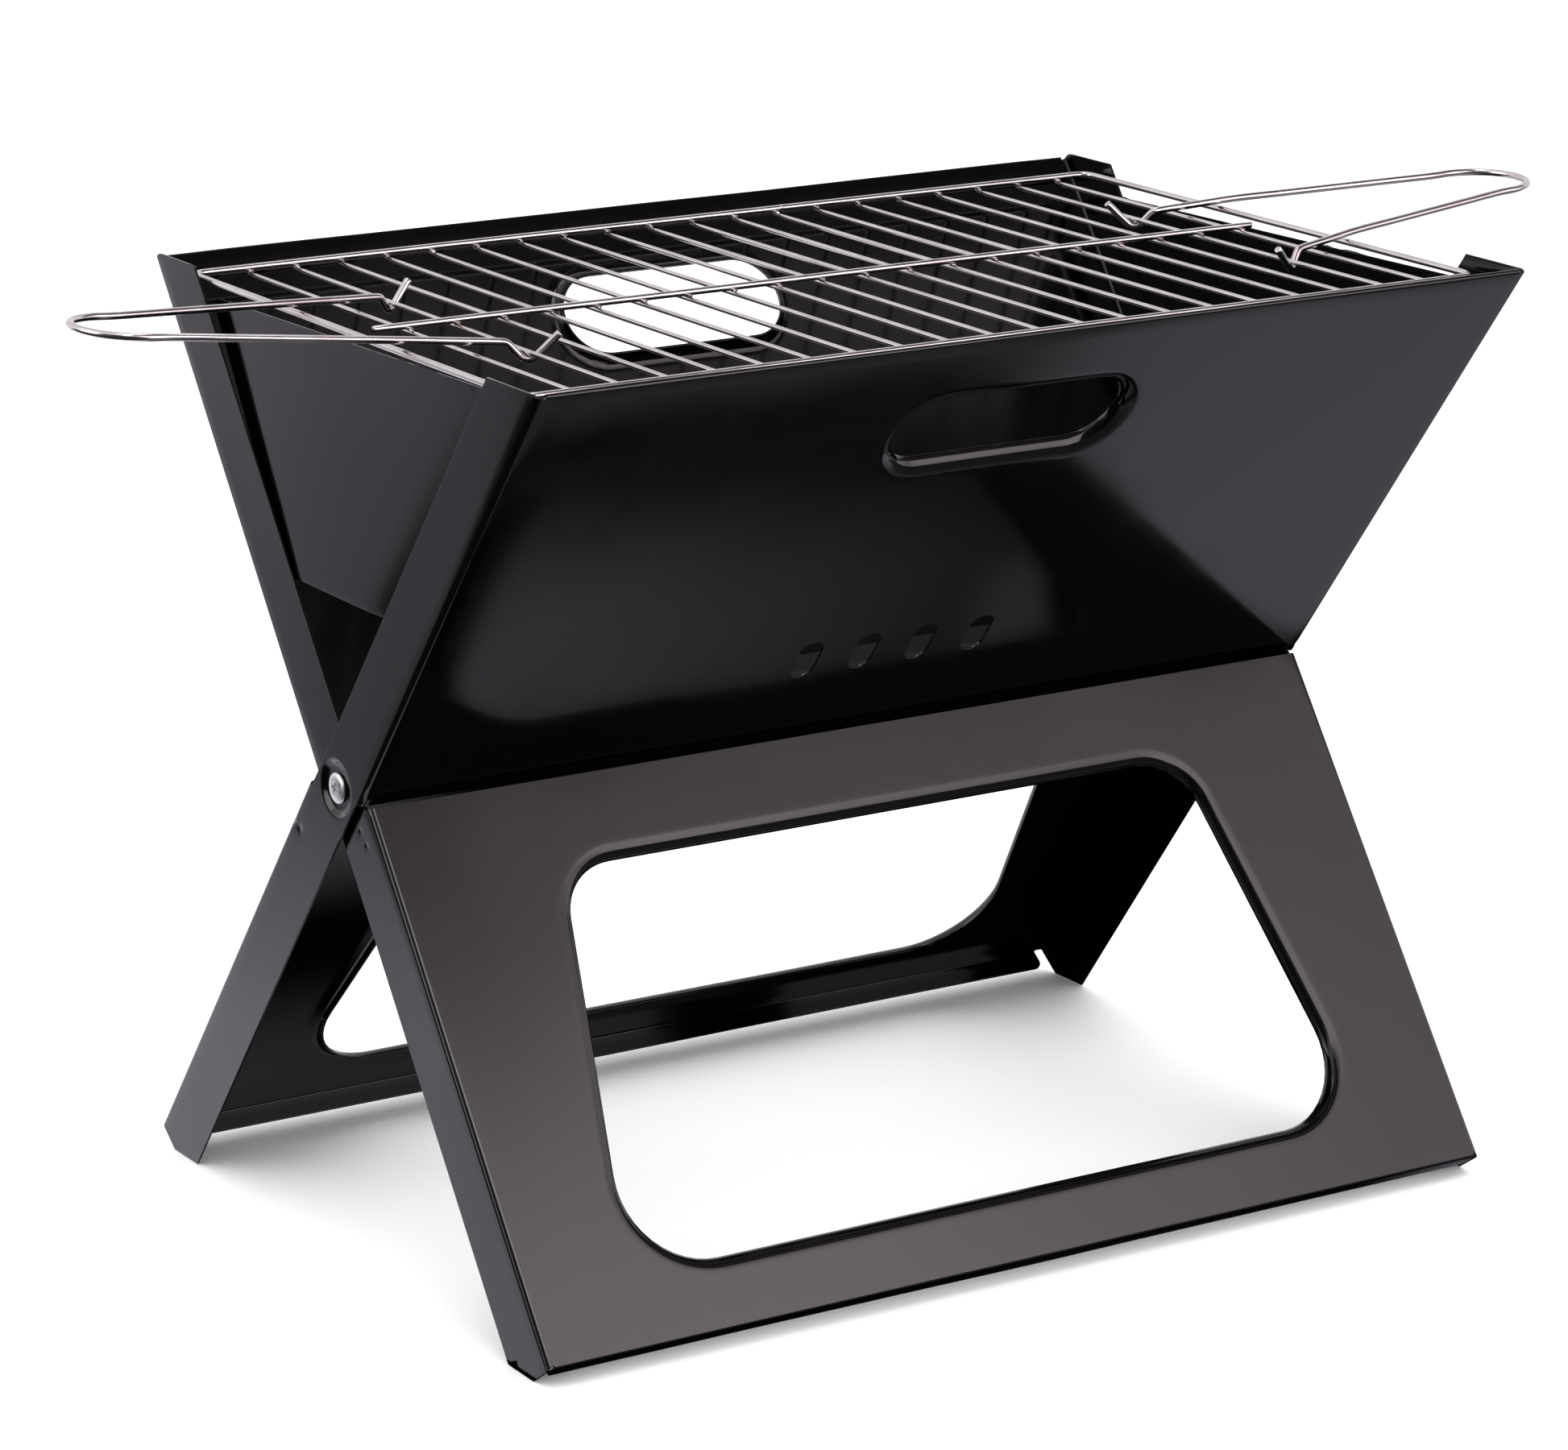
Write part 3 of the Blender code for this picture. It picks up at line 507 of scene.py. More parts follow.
# ---- sheet pressings ------------------------------------------------------------
class Pattern:
    """A pressing's flat pattern: `across` is the developed width, `up` the slope."""

    def __init__(self, front_frame, upper, top=0.0):
        self.front_frame, self.upper, self.top = front_frame, upper, top
        self.half_x = FRONT_X if front_frame else REAR_X
        self.free = FRONT_FREE if front_frame else REAR_FREE
        self.flat = self.half_x - BEND_R
        self.dents = []           # (across, up, depth, spread)

    def strip_across(self, offset):
        return self.flat + ARC + (HALF - BEND_R - offset)

    def ripple(self, across, up):
        """Slight waviness of the sheet, and its dents."""
        reach = np.abs(across)
        sheet = np.clip((self.flat - reach) / 28.0, 0, 1)
        sheet = sheet * sheet * (3 - 2 * sheet)
        phase = 0.7 if self.front_frame else 0
        wave = 0.16 * np.sin(across / 61 + 1.3 + phase) * np.sin(up / 47 + 0.6)
        wave = wave + 0.07 * np.sin(across / 27 + up / 38 + 2.0)
        wave = wave + 0.03 * np.sin(across / 15 - up / 19 + 0.5)
        offset = HALF - BEND_R - (reach - self.flat - ARC)
        strip = np.clip((reach - self.flat - ARC) / 6.0, 0, 1) * 0.05
        height = wave * sheet + strip * np.sin(up / 34 + 0.9) * np.cos(offset / 11)
        for dent_across, dent_up, depth, spread in self.dents:
            square = (across - dent_across) ** 2 + (up - dent_up) ** 2
            height = height - depth * np.exp(-square / (2 * spread * spread))
        return height

    def place(self, across, up, height):
        """Points of the bent sheet, at a height out from its outer face."""
        reach, side = np.abs(across), np.sign(across)
        height = height + self.ripple(across, up)
        x, offset, slope = across, HALF + height, up
        bent = (reach > self.flat) & (reach <= self.flat + ARC)
        turn = (reach - self.flat) / BEND_R
        x = np.where(bent, side * (self.flat + (BEND_R + height) * np.sin(turn)), x)
        offset = np.where(bent, HALF - BEND_R + (BEND_R + height) * np.cos(turn), offset)
        strip = reach > self.flat + ARC
        x = np.where(strip, side * (self.half_x + height), x)
        offset = np.where(strip, HALF - BEND_R - (reach - self.flat - ARC), offset)
        panel = reach <= self.flat
        if self.upper:            # the hem, folded back on itself
            start = self.top - HEM_R
            turn = (up - start) / HEM_R
            fold = panel & (up > start) & (turn <= math.pi)
            slope = np.where(fold, start + (HEM_R + height) * np.sin(turn), slope)
            offset = np.where(fold, HALF - HEM_R + (HEM_R + height) * np.cos(turn), offset)
            back = panel & (turn > math.pi)
            slope = np.where(back, start - (up - start - math.pi * HEM_R), slope)
            offset = np.where(back, HALF - 2 * HEM_R - height, offset)
        else:                     # the lip, turned square
            start = LEG_BOTTOM + LIP_R
            turn = (start - up) / LIP_R
            fold = panel & (up < start) & (turn <= math.pi / 2)
            slope = np.where(fold, start - (LIP_R + height) * np.sin(turn), slope)
            offset = np.where(fold, HALF - LIP_R + (LIP_R + height) * np.cos(turn), offset)
            lip = panel & (turn > math.pi / 2)
            slope = np.where(lip, start - LIP_R - height, slope)
            lip_offset = HALF - LIP_R - (start - up - math.pi * LIP_R / 2)
            # A leg's panel is on the other side of the frame's plane.
            offset = -np.where(lip, lip_offset, offset)
        y, z = lay(slope, offset, -1 if self.front_frame else 1)
        return np.stack([x + X0, y, z], axis=1)

    def upper_half(self):
        free_across = self.strip_across(-self.free)
        half = [(0, PANEL_BOTTOM)]
        # Strip top corner: offset, drop below the top line
        if self.front_frame:
            # A narrow notch beside the bend.
            half += [(220.5, PANEL_BOTTOM), (220.5, 12.0), (222.3, 12.0), (222.3, PANEL_BOTTOM)]
            bottom_across = self.flat + ARC
            drops = ((13.0, 0.12), (14.0, 0.5))
        else:
            bottom_across = self.strip_across(self.free)
            drops = ((10.6, 0.0), (12.0, 0.25), (13.2, 0.85), (14.0, 1.5))
        half += [(bottom_across, PANEL_BOTTOM), (bottom_across, SEAM), (free_across, SEAM)]
        half.append((free_across, slope_at(STRIP_TOP_Z, -self.free)))
        for offset, drop in drops:
            half.append((self.strip_across(offset), slope_at(STRIP_TOP_Z, offset) - drop))
        # Round the bend the edge comes down from the strip's top to the hem.
        full = self.top - HEM_R
        height = half[-1][1] - full
        for degrees, part in ((72, 0.86), (52, 0.62), (32, 0.36), (14, 0.14)):
            half.append((self.flat + BEND_R * math.radians(degrees), full + height * part))
        hem = self.flat - 1.3
        end = full + math.pi * HEM_R + HEM - HEM_R
        half += [(self.flat, full), (hem + 0.5, full), (hem, full + 0.5),
                 (hem, end - 1.2), (hem - 1.2, end), (0, end)]
        return half

    def leg_half(self):
        start = LEG_BOTTOM + LIP_R
        end = start - math.pi * LIP_R / 2 - (LIP - LIP_R)
        lip, corner = 219.3, 4
        half = [(0, end), (lip - corner, end)]
        half += [(lip - corner + corner * math.sin(turn), end + corner - corner * math.cos(turn))
                 for turn in (0.4, 0.8, 1.2)]
        half += [(lip, end + corner), (lip, start - 0.5), (lip + 0.4, start),
                 (self.flat, start),
                 (self.flat + BEND_R * math.radians(30), start - 0.6),
                 (self.flat + BEND_R * math.radians(65), LEG_BOTTOM + 0.2),
                 (self.flat + ARC, LEG_BOTTOM)]
        # The strip is cut off along the floor from the offset where it meets it.
        floor_offset = (SIN * LEG_BOTTOM + PIVOT_Z) / COS
        free_across = self.strip_across(-self.free)
        half += [(self.strip_across(-floor_offset), LEG_BOTTOM),
                 (free_across, slope_at(0.15, self.free)),
                 (free_across, SEAM), (self.flat + ARC, SEAM),
                 (self.flat + BEND_R * math.radians(60), SEAM - 0.2),
                 (self.flat, SEAM - 0.3), (0, SEAM - 0.3)]
        return half

    def outline(self):
        """The boundary: its right half from the bottom middle up, then its left."""
        right = self.upper_half() if self.upper else self.leg_half()
        return right + [(-across, up) for across, up in right[::-1] if across > 0]

    def grid_lines(self, outline):
        columns = list(np.linspace(-self.flat, self.flat, 91))
        columns += [side * (self.flat + ARC * k / 7) for k in range(1, 8) for side in (-1, 1)]
        width = HALF - BEND_R + self.free
        columns += [side * (self.flat + ARC + width * k / 6)
                    for k in range(1, 7) for side in (-1, 1)]
        ups = [up for _, up in outline]
        rows = list(np.arange(math.ceil(min(ups) / 5) * 5, max(ups), 5.0))
        if self.upper:
            start = self.top - HEM_R
            curve = [start + math.pi * HEM_R * k / 9 for k in range(10)]
            rows = [up for up in rows if up < start - 1.5]
            rows += curve + [start + math.pi * HEM_R + 5]
        else:
            start = LEG_BOTTOM + LIP_R
            curve = [start - math.pi * LIP_R / 2 * k / 7 for k in range(8)]
            rows = [up for up in rows if up > start + 1.5]
            rows += curve + [start - math.pi * LIP_R / 2 - 4]
        return columns, rows

    def dent_points(self):
        """Rings of extra points round each dent."""
        out = []
        for across, up, _, spread in self.dents:
            for ring in (0.0, 0.6, 1.2, 1.9, 2.7):
                for k in range(12 if ring else 1):
                    turn = k * math.pi / 6
                    out.append((across + ring * spread * math.cos(turn),
                                up + ring * spread * math.sin(turn)))
        return out


def pressing(name, pattern, formed, plain=(), extra=None):
    """Build a pressing.

    formed: stacks of (outline, depth), pushed in from the sheet; plain: openings
    cut straight through; extra: (points, normals, faces) joined to the sheet.
    """
    outline = pattern.outline()
    columns, rows = pattern.grid_lines(outline)
    loop = gridded(outline, columns, rows)
    stacks = [(divide([ring for ring, _ in stack]), [depth for _, depth in stack])
              for stack in formed]
    holes = [loops[0] for loops, _ in stacks]
    holes += [divide([opening], 4.0)[0] for opening in plain]
    grid = [(across, up) for across in columns for up in rows] + pattern.dent_points()
    flat, triangles, lookup = triangulate(loop, holes, np.array(grid))

    across, up, height = list(flat[:, 0]), list(flat[:, 1]), [0.0] * len(flat)
    faces = [tuple(triangle) for triangle in triangles]
    boundary_at = len(loop)
    for loops, depths in stacks:
        size = len(loops[0])
        previous = [lookup[boundary_at + i] for i in range(size)]
        boundary_at += size
        for ring, depth in zip(loops[1:], depths[1:]):
            start = len(across)
            across += [point[0] for point in ring]
            up += [point[1] for point in ring]
            height += [-depth] * size
            fresh = list(range(start, start + size))
            for i in range(size):
                j = (i + 1) % size
                faces.append((previous[i], previous[j], fresh[j]))
                faces.append((previous[i], fresh[j], fresh[i]))
            previous = fresh
    used, faces = np.unique(np.array(faces), return_inverse=True)
    faces = faces.reshape(-1, 3)
    across, up, height = (np.array(values)[used] for values in (across, up, height))

    points = pattern.place(across, up, height)
    outward = pattern.place(across, up, height + 0.5) - points
    wrong = (face_crosses(points, faces) * outward[faces].mean(1)).sum(1) < 0
    # Formed rings run the same way round as their hole, so they turn together.
    steep = np.abs(height[faces]).max(1) > 0.01
    turned = wrong & ~steep
    if wrong[steep].mean() > 0.5:
        turned |= steep
    faces[turned] = faces[turned][:, ::-1]

    seam = (np.abs(up - SEAM) < 0.02) & (np.abs(across) > pattern.flat + ARC - 0.05)
    verts, normals, polys = thicken(points, faces, SHEET, EDGE, seam)
    if extra:
        start = len(verts)
        verts = np.concatenate([verts, extra[0]])
        normals = np.concatenate([normals, extra[1]])
        polys = polys + [tuple(vert + start for vert in face) for face in extra[2]]
    thing = mesh_object(name + "_sheet", verts, polys, ENAMEL, normals=normals)
    tell(thing, "front_frame" if pattern.front_frame else "rear_frame", name)


def draw_stack(corners, radii, deep, reach):
    """Rings of a rim drawn through the sheet, from flat metal to its free edge."""
    def ring(grow):
        return rounded(corners, radii, 12, grow)

    stack = [(ring(reach + 1.8), 0.0), (ring(reach), 0.0)]
    for k in range(1, 10):
        turn = math.pi / 2 * k / 9
        stack.append((ring(reach * (1 - math.sin(turn))), deep * (1 - math.cos(turn))))
    stack.append((ring(0.0), deep + 0.6))
    return stack


def slot_stack():
    half = SLOT_HEIGHT / 2
    return draw_stack(rectangle(0, SLOT_UP, SLOT_LENGTH / 2, half), [half - 0.02] * 4,
                      deep=5.0, reach=6.4)


def window_stack():
    (low_half, low_up, low_r), (top_half, top_up, top_r) = WINDOW
    corners = [(-low_half, low_up), (low_half, low_up), (top_half, top_up), (-top_half, top_up)]
    return draw_stack(corners, [low_r, low_r, top_r, top_r], deep=4.7, reach=6.2)


def vents():
    half = VENT_WIDTH / 2
    return [rounded(rectangle(x, VENT_UP, half, VENT_HEIGHT / 2), [half - 0.02] * 4, 9)
            for x in VENT_X]


def forks():
    """The small open forks behind the front panel that hold the hinge wires."""
    throat, wire_offset, foot, tip = 1.45, 12.3, HALF - 0.9, HALF - 6.4
    # Profile, clockwise: across from the hinge line, offset
    ring = [(-3.6, foot), (3.0, foot), (3.0, HALF - 5.6), (2.5, tip), (1.75, tip),
            (throat, HALF - 5.9)]
    ring += [(throat * math.cos(turn), wire_offset + throat * math.sin(turn))
             for turn in np.linspace(0, math.pi, 9)]
    ring += [(-throat, HALF - 5.9), (-1.75, tip), (-3.1, tip), (-3.6, HALF - 5.6)]
    size = len(ring)
    outline_edges = [(k, (k + 1) % size) for k in range(size)]
    caps = delaunay_2d_cdt([Vector(point) for point in ring], outline_edges, [], 1, 1e-6)[2]
    up_slope = np.array([0, -COS, SIN])
    verts, normals, polys = [], [], []
    for side in (-1, 1):
        for slope in (108.0, 212.0):
            points = np.array([(side * (PLATE_X + across) + X0, *lay(slope + shift, offset))
                               for shift in (-0.7, 0.7) for across, offset in ring])
            flats = []            # (corners, the way they should face)
            for k, after in outline_edges:
                along = np.array(ring[after]) - np.array(ring[k])
                facing = np.array([side * -along[1], -SIN * along[0], -COS * along[0]])
                flats.append(([k, after, size + after, size + k], facing))
            for cap in caps:
                flats.append((list(cap), -up_slope))
                flats.append(([vert + size for vert in cap], up_slope))
            for corners, facing in flats:
                face = points[corners]
                normal = unit(np.cross(face[1] - face[0], face[2] - face[0]))
                if normal @ facing < 0:
                    face, normal = face[::-1], -normal
                start = len(verts)
                verts += [tuple(point) for point in face]
                normals += [tuple(normal)] * len(face)
                polys.append(tuple(range(start, start + len(face))))
    return np.array(verts), np.array(normals), polys


# Dished seat of a pivot bolt, from the flat sheet in to the bolt hole: radius, depth
DISH = ((12.7, 0.0), (11.9, 0.0), (11.4, 0.10), (10.9, 0.34), (10.3, 0.72), (9.7, 1.10),
        (9.1, 1.36), (8.4, 1.48), (7.0, DISH_DEPTH), (BOLT_HOLE_R, DISH_DEPTH))

front = Pattern(front_frame=True, upper=True, top=FRONT_TOP)
dishes = [[(circle(side * front.strip_across(0), 0, radius), depth) for radius, depth in DISH]
          for side in (-1, 1)]
pressing("front_panel", front, [slot_stack()] + dishes, vents(), forks())

rear = Pattern(front_frame=False, upper=True, top=REAR_TOP)
bolt_holes = [circle(side * rear.strip_across(0), 0, BOLT_HOLE_R, 24) for side in (-1, 1)]
pressing("rear_panel", rear, [slot_stack()], vents() + bolt_holes)

rear_leg = Pattern(front_frame=True, upper=False)
rear_leg.dents = [(side * rear_leg.strip_across(10.3), -37.0, 0.32, 1.2) for side in (-1, 1)]
pressing("rear_leg_panel", rear_leg, [window_stack()])

front_leg = Pattern(front_frame=False, upper=False)
front_leg.dents = [(side * front_leg.strip_across(offset), up, 0.2, 0.8)
                   for side in (-1, 1) for offset, up in ((3.2, -19.5), (4.6, -26.0))]
pressing("front_leg_panel", front_leg, [window_stack()])


# ---- wire helpers ---------------------------------------------------------------
def smooth_path(points, step):
    """Centripetal Catmull-Rom through the points, about a step apart."""
    path = np.array(points, float)
    padded = [2 * path[0] - path[1], *path, 2 * path[-1] - path[-2]]
    out = []
    for near in zip(padded, padded[1:], padded[2:], padded[3:]):
        lengths = [np.linalg.norm(near[i + 1] - near[i]) for i in range(3)]
        knots = np.concatenate([[0.0], np.cumsum(np.sqrt(lengths))])
        count = max(2, int(lengths[1] / step))
        for k in range(count):
            at = knots[1] + (knots[2] - knots[1]) * k / count

            def between(start, end, i, j):
                return (start * (knots[j] - at) + end * (at - knots[i])) / (knots[j] - knots[i])

            lines = [between(near[i], near[i + 1], i, i + 1) for i in range(3)]
            curves = [between(lines[i], lines[i + 1], i, i + 2) for i in range(2)]
            out.append(between(*curves, 1, 2))
    out.append(path[-1])
    return np.array(out)


def tube(path, radius, sides, closed=False, end=0.25):
    """A round wire along a path, with softly cut ends: (points, faces)."""
    if closed:
        tangent = np.roll(path, -1, 0) - np.roll(path, 1, 0)
    else:
        tangent = np.gradient(path, axis=0)
    tangent /= np.linalg.norm(tangent, axis=1)[:, None]
    side = np.cross(tangent[0], [0, 0, 1.0])
    rings = []                    # (centre, radius, side, up)
    for centre, along in zip(path, tangent):
        side = side - along * side.dot(along)
        side /= np.linalg.norm(side)
        rings.append((centre, radius, side, np.cross(side, along)))
    if not closed:
        # How far in from the end, and the radius there
        cut = ((0.0, radius - end), (end * 0.35, radius - end * 0.35), (end, radius))
        head_at, _, *head_axes = rings[0]
        tail_at, _, *tail_axes = rings[-1]
        head = [(head_at + tangent[0] * depth, size, *head_axes) for depth, size in cut]
        tail = [(tail_at - tangent[-1] * depth, size, *tail_axes) for depth, size in cut[::-1]]
        rings = head + rings[1:-1] + tail
    turns = np.linspace(0, 2 * math.pi, sides, endpoint=False)
    points = np.concatenate([
        centre + size * (np.cos(turns)[:, None] * side + np.sin(turns)[:, None] * up)
        for centre, size, side, up in rings])
    faces = []
    count = len(rings)
    for i in range(count if closed else count - 1):
        k = (i + 1) % count
        for j in range(sides):
            after = (j + 1) % sides
            faces.append((i * sides + j, i * sides + after, k * sides + after, k * sides + j))
    if not closed:
        faces.append(tuple(range(sides))[::-1])
        faces.append(tuple((count - 1) * sides + j for j in range(sides)))
    return points, faces


def nugget(at, size, seed):
    """A small weld bead: a squashed ball with an uneven skin."""
    rows, sides = 8, 12
    at = np.array(at)
    points = [at + (0, 0, size[2])]
    for i in range(1, rows):
        polar = math.pi * i / rows
        for j in range(sides):
            turn = 2 * math.pi * j / sides
            swell = 1 + 0.13 * math.sin(3 * turn + seed) * math.sin(polar)
            swell += 0.08 * math.sin(5 * polar + 2.3 * seed)
            points.append(at + swell * np.array((size[0] * math.sin(polar) * math.cos(turn),
                                                 size[1] * math.sin(polar) * math.sin(turn),
                                                 size[2] * math.cos(polar))))
    points.append(at - (0, 0, size[2]))
    faces = [(0, 1 + j, 1 + (j + 1) % sides) for j in range(sides)]
    for i in range(rows - 2):
        upper, lower = 1 + i * sides, 1 + (i + 1) * sides
        faces += [(upper + j, lower + j, lower + (j + 1) % sides, upper + (j + 1) % sides)
                  for j in range(sides)]
    last, ring = len(points) - 1, 1 + (rows - 2) * sides
    faces += [(last, ring + (j + 1) % sides, ring + j) for j in range(sides)]
    return np.array(points), faces


def wire_piece(name, pieces, materials, node, body):
    """One object from (points, faces, material slot) pieces."""
    faces, slots, start = [], [], 0
    for part, part_faces, slot in pieces:
        faces += [tuple(vert + start for vert in face) for face in part_faces]
        slots += [slot] * len(part_faces)
        start += len(part)
    points = np.concatenate([part for part, _, _ in pieces]) + np.array([X0, 0, 0])
    thing = mesh_object(name, points, faces, *materials)
    thing.data.polygons.foreach_set("material_index", slots)
    face_outward(thing.data, sharp_above=0.9)
    tell(thing, body, node)


# ---- cooking grate --------------------------------------------------------------
GRATE_Z, GRATE_X, GRATE_Y = 371.0, 217.5, 129.3    # height and half sizes of the rim
RIM_R, BAR_R = 1.4, 1.0
ROD_HALF = 207.0
BAR_COUNT, BAR_STEP = 20, 20.7
BAR_SHIFT = -X0                    # the bars are centred on x = 0
BAR_Z = GRATE_Z - RIM_R - BAR_R - 0.3
# Weld beads of a bar: y, seed, half sizes
BAR_WELDS = ((-GRATE_Y, 1, (1.55, 1.7, 0.62)), (0.0, 2, (1.5, 1.9, 0.6)),
             (GRATE_Y, 3, (1.55, 1.7, 0.62)))


def grate_rim():
    corner = rounded(rectangle(0, 0, GRATE_X, GRATE_Y), [6.0] * 4, 8)
    path = np.array([(x, y, GRATE_Z + 0.10 * math.sin(x / 41 + 1) * math.sin(y / 37))
                     for x, y in divide([corner], 9.0)[0]])
    weld = nugget((60.0, GRATE_Y + 0.1, GRATE_Z), (2.4, RIM_R + 0.12, RIM_R + 0.14), 1.0)
    wire_piece("cooking_grate_rim", [(*tube(path, RIM_R, 20, closed=True), 0), (*weld, 1)],
               [WIRE_LONG, WELD], "grate_rim", "cooking_grate")


def grate_rod():
    path = np.array([(x, 0.08 * math.sin(x / 50), GRATE_Z + 0.06 * math.sin(x / 33))
                     for x in np.linspace(-ROD_HALF, ROD_HALF, 60)])
    wire_piece("cooking_grate_rod", [(*tube(path, RIM_R, 20), 0)], [WIRE_LONG],
               "grate_centre_rod", "cooking_grate")


def grate_bar(k):
    x = BAR_SHIFT + BAR_STEP * (k - (BAR_COUNT - 1) / 2)
    lean = 0.16 * math.sin(k * 2.3)
    path = np.array([(x + lean * y / 130, y, BAR_Z + 0.05 * math.sin(y / 40 + k))
                     for y in np.linspace(-GRATE_Y - 0.8, GRATE_Y + 0.8, 40)])
    pieces = [(*tube(path, BAR_R, 16), 0)]
    for y, seed, size in BAR_WELDS:
        pieces.append((*nugget((x, y, BAR_Z + BAR_R + 0.12), size, seed + k * 1.7), 1))
    wire_piece("cooking_grate_bar_%02d" % (k + 1), pieces, [WIRE_CROSS, WELD],
               "grate_bar_%02d" % (k + 1), "cooking_grate")


grate_rim()
grate_rod()
for k in range(BAR_COUNT):
    grate_bar(k)

# ---- carry handles --------------------------------------------------------------
HANDLE_R = 1.5
HOOK_X = BAR_STEP * 8.5            # the second bar from each end
HOOK_R = BAR_R + 0.35 + HANDLE_R
# Arm, measured outward from the hooked bar
ARM_START, ARM_KNEE, ARM_END = 8.4, 41.7, 134.0
ARM_Y, ARM_RISE, ARM_NARROWING = 47.8, 3.7, 25.9252
BEND_START, BEND_REACH, HANDLE_END = 137.4, 22.0, 159.6


def handle_half(slope):
    """Half a handle from its hooked end to its middle: x outward, y, z above the bar."""
    def height(x):
        return ARM_RISE + (min(x, ARM_KNEE) - ARM_START) * 0.088 + max(0.0, x - ARM_KNEE) * slope

    points = [(-10.9, 57.5, 6.9), (-2.05, 54.0, -2.0)]
    for degrees in (-70, -95, -120):
        turn = math.radians(degrees)
        points.append((-HOOK_R * math.cos(turn), 54.0 + 0.03 * (degrees + 45),
                       HOOK_R * math.sin(turn)))
    points += [(2.18, 51.0, -1.85), (4.6, 49.5, 1.05), (5.9, 48.8, 2.55), (6.9, 48.3, 3.35),
               (ARM_START, ARM_Y, ARM_RISE)]
    for x in (24.0, ARM_KNEE, 65.0, 90.0, 112.0, ARM_END):
        part = (x - ARM_START) / (ARM_END - ARM_START)
        points.append((x, ARM_Y - ARM_NARROWING * part, height(x)))
    end_y = points[-1][1]
    for degrees in (12, 28, 44, 60, 76):
        turn = math.radians(degrees)
        x = BEND_START + BEND_REACH * math.sin(turn)
        points.append((x, end_y * math.cos(turn) ** 0.9, height(x)))
    points.append((HANDLE_END, 0.0, height(HANDLE_END)))
    return points


# Rise of the outer arm, and how far the handle has slid along its bar
for (side, label), slope, slid in zip(SIDES, (0.083, 0.045), (0.0, -7.0)):
    half = handle_half(slope)
    full = half + [(x, -y, z) for x, y, z in half[-2::-1]]
    hook = side * HOOK_X + BAR_SHIFT
    path = smooth_path([(hook + side * x, slid + y, BAR_Z + z) for x, y, z in full], step=1.2)
    wire_piece("carry_handle_" + label, [(*tube(path, HANDLE_R, 22), 0)], [WIRE_HANDLE],
               "handle_" + label, "handle_" + label)

# ---- pivot bolts ----------------------------------------------------------------
BOLT_SEAT = FRONT_X - DISH_DEPTH + 0.2     # underside of the head, from the middle
HEAD_R, HEAD_WALL, HEAD_DOME = 6.15, 0.8, 1.1


def lathe(profile, sides=48):
    """(along x, radius) pairs turned about the x axis: (points, faces), ends closed."""
    turns = [2 * math.pi * j / sides for j in range(sides)]
    points = [(x, radius * math.cos(turn), radius * math.sin(turn))
              for x, radius in profile for turn in turns]
    faces = []
    for i in range(len(profile) - 1):
        for j in range(sides):
            after = (j + 1) % sides
            faces.append((i * sides + j, i * sides + after,
                          (i + 1) * sides + after, (i + 1) * sides + j))
    faces.append(tuple(range(sides)))
    faces.append(tuple((len(profile) - 1) * sides + j for j in range(sides))[::-1])
    return np.array(points), faces


def cross_recess(side, label):
    """The cutter for the crossed drive recess in a bolt head."""
    work = bmesh.new()
    centre = (X0 + side * (BOLT_SEAT + HEAD_WALL + HEAD_DOME), 0, PIVOT_Z)
    for turn in (0.35, 0.35 + math.pi / 2):
        matrix = (Matrix.Translation([length * MM for length in centre])
                  @ Matrix.Rotation(turn, 4, "X")
                  @ Matrix.Diagonal((1.9 * MM, 0.9 * MM, 5.0 * MM, 1)))
        bmesh.ops.create_cube(work, size=1.0, matrix=matrix)
    mesh = bpy.data.meshes.new("recess_" + label)
    work.to_mesh(mesh)
    work.free()
    cutter = bpy.data.objects.new("recess_" + label, mesh)
    bpy.context.scene.collection.objects.link(cutter)
    return cutter


def bolt_head(side, label):
    # Distance from the middle, radius
    profile = [(214.3, 2.3), (214.8, 2.8), (BOLT_SEAT, 2.8), (BOLT_SEAT, 5.75),
               (BOLT_SEAT + 0.15, 6.05), (BOLT_SEAT + 0.45, 6.2),
               (BOLT_SEAT + HEAD_WALL, HEAD_R)]
    for degrees in (15, 30, 45, 60, 75, 88):
        turn = math.radians(degrees)
        radius = HEAD_R * math.cos(turn) ** 0.75 if degrees < 80 else 0.6
        profile.append((BOLT_SEAT + HEAD_WALL + HEAD_DOME * math.sin(turn), radius))
    points, faces = lathe(profile)
    points = points * np.array([side, 1, 1]) + np.array([X0, 0, PIVOT_Z])
    head = mesh_object("pivot_bolt_head_" + label, points, faces, ZINC)
    face_outward(head.data)
    cutter = cross_recess(side, label)
    modifier = head.modifiers.new("recess", "BOOLEAN")
    modifier.operation, modifier.solver, modifier.object = "DIFFERENCE", "EXACT", cutter
    modifier.use_self = True
    graph = bpy.context.evaluated_depsgraph_get()
    done = bpy.data.meshes.new_from_object(head.evaluated_get(graph))
    head.modifiers.clear()
    head.data = done
    bpy.data.objects.remove(cutter, do_unlink=True)
    done.polygons.foreach_set("use_smooth", [True] * len(done.polygons))
    done.set_sharp_from_angle(angle=math.radians(38))
    tell(head, "front_frame", "pivot_bolt_" + label)


for side, label in SIDES:
    bolt_head(side, label)

# ---- end plates -----------------------------------------------------------------
PLATE_T = 0.8
HINGE_OFFSET = 12.4                # offset of the hinge line in the front frame
PLATE_INSET = 4.0                  # from the hinge line to the plate's front edge
PLATE_TOP_FRONT, PLATE_TOP_REAR, PLATE_BOTTOM = 369.3, 365.1, 267.4    # heights
CURL_R = 2.4
CURL_SLOPES = np.linspace(116.0, 202.0, 12)
CURL_STEPS = 26


def on_plate(y, z):
    """Plate coordinates: inset from the hinge line, slope."""
    slope = -COS * y + SIN * (z - PIVOT_Z)
    offset = -SIN * y - COS * (z - PIVOT_Z)
    return HINGE_OFFSET - offset, slope


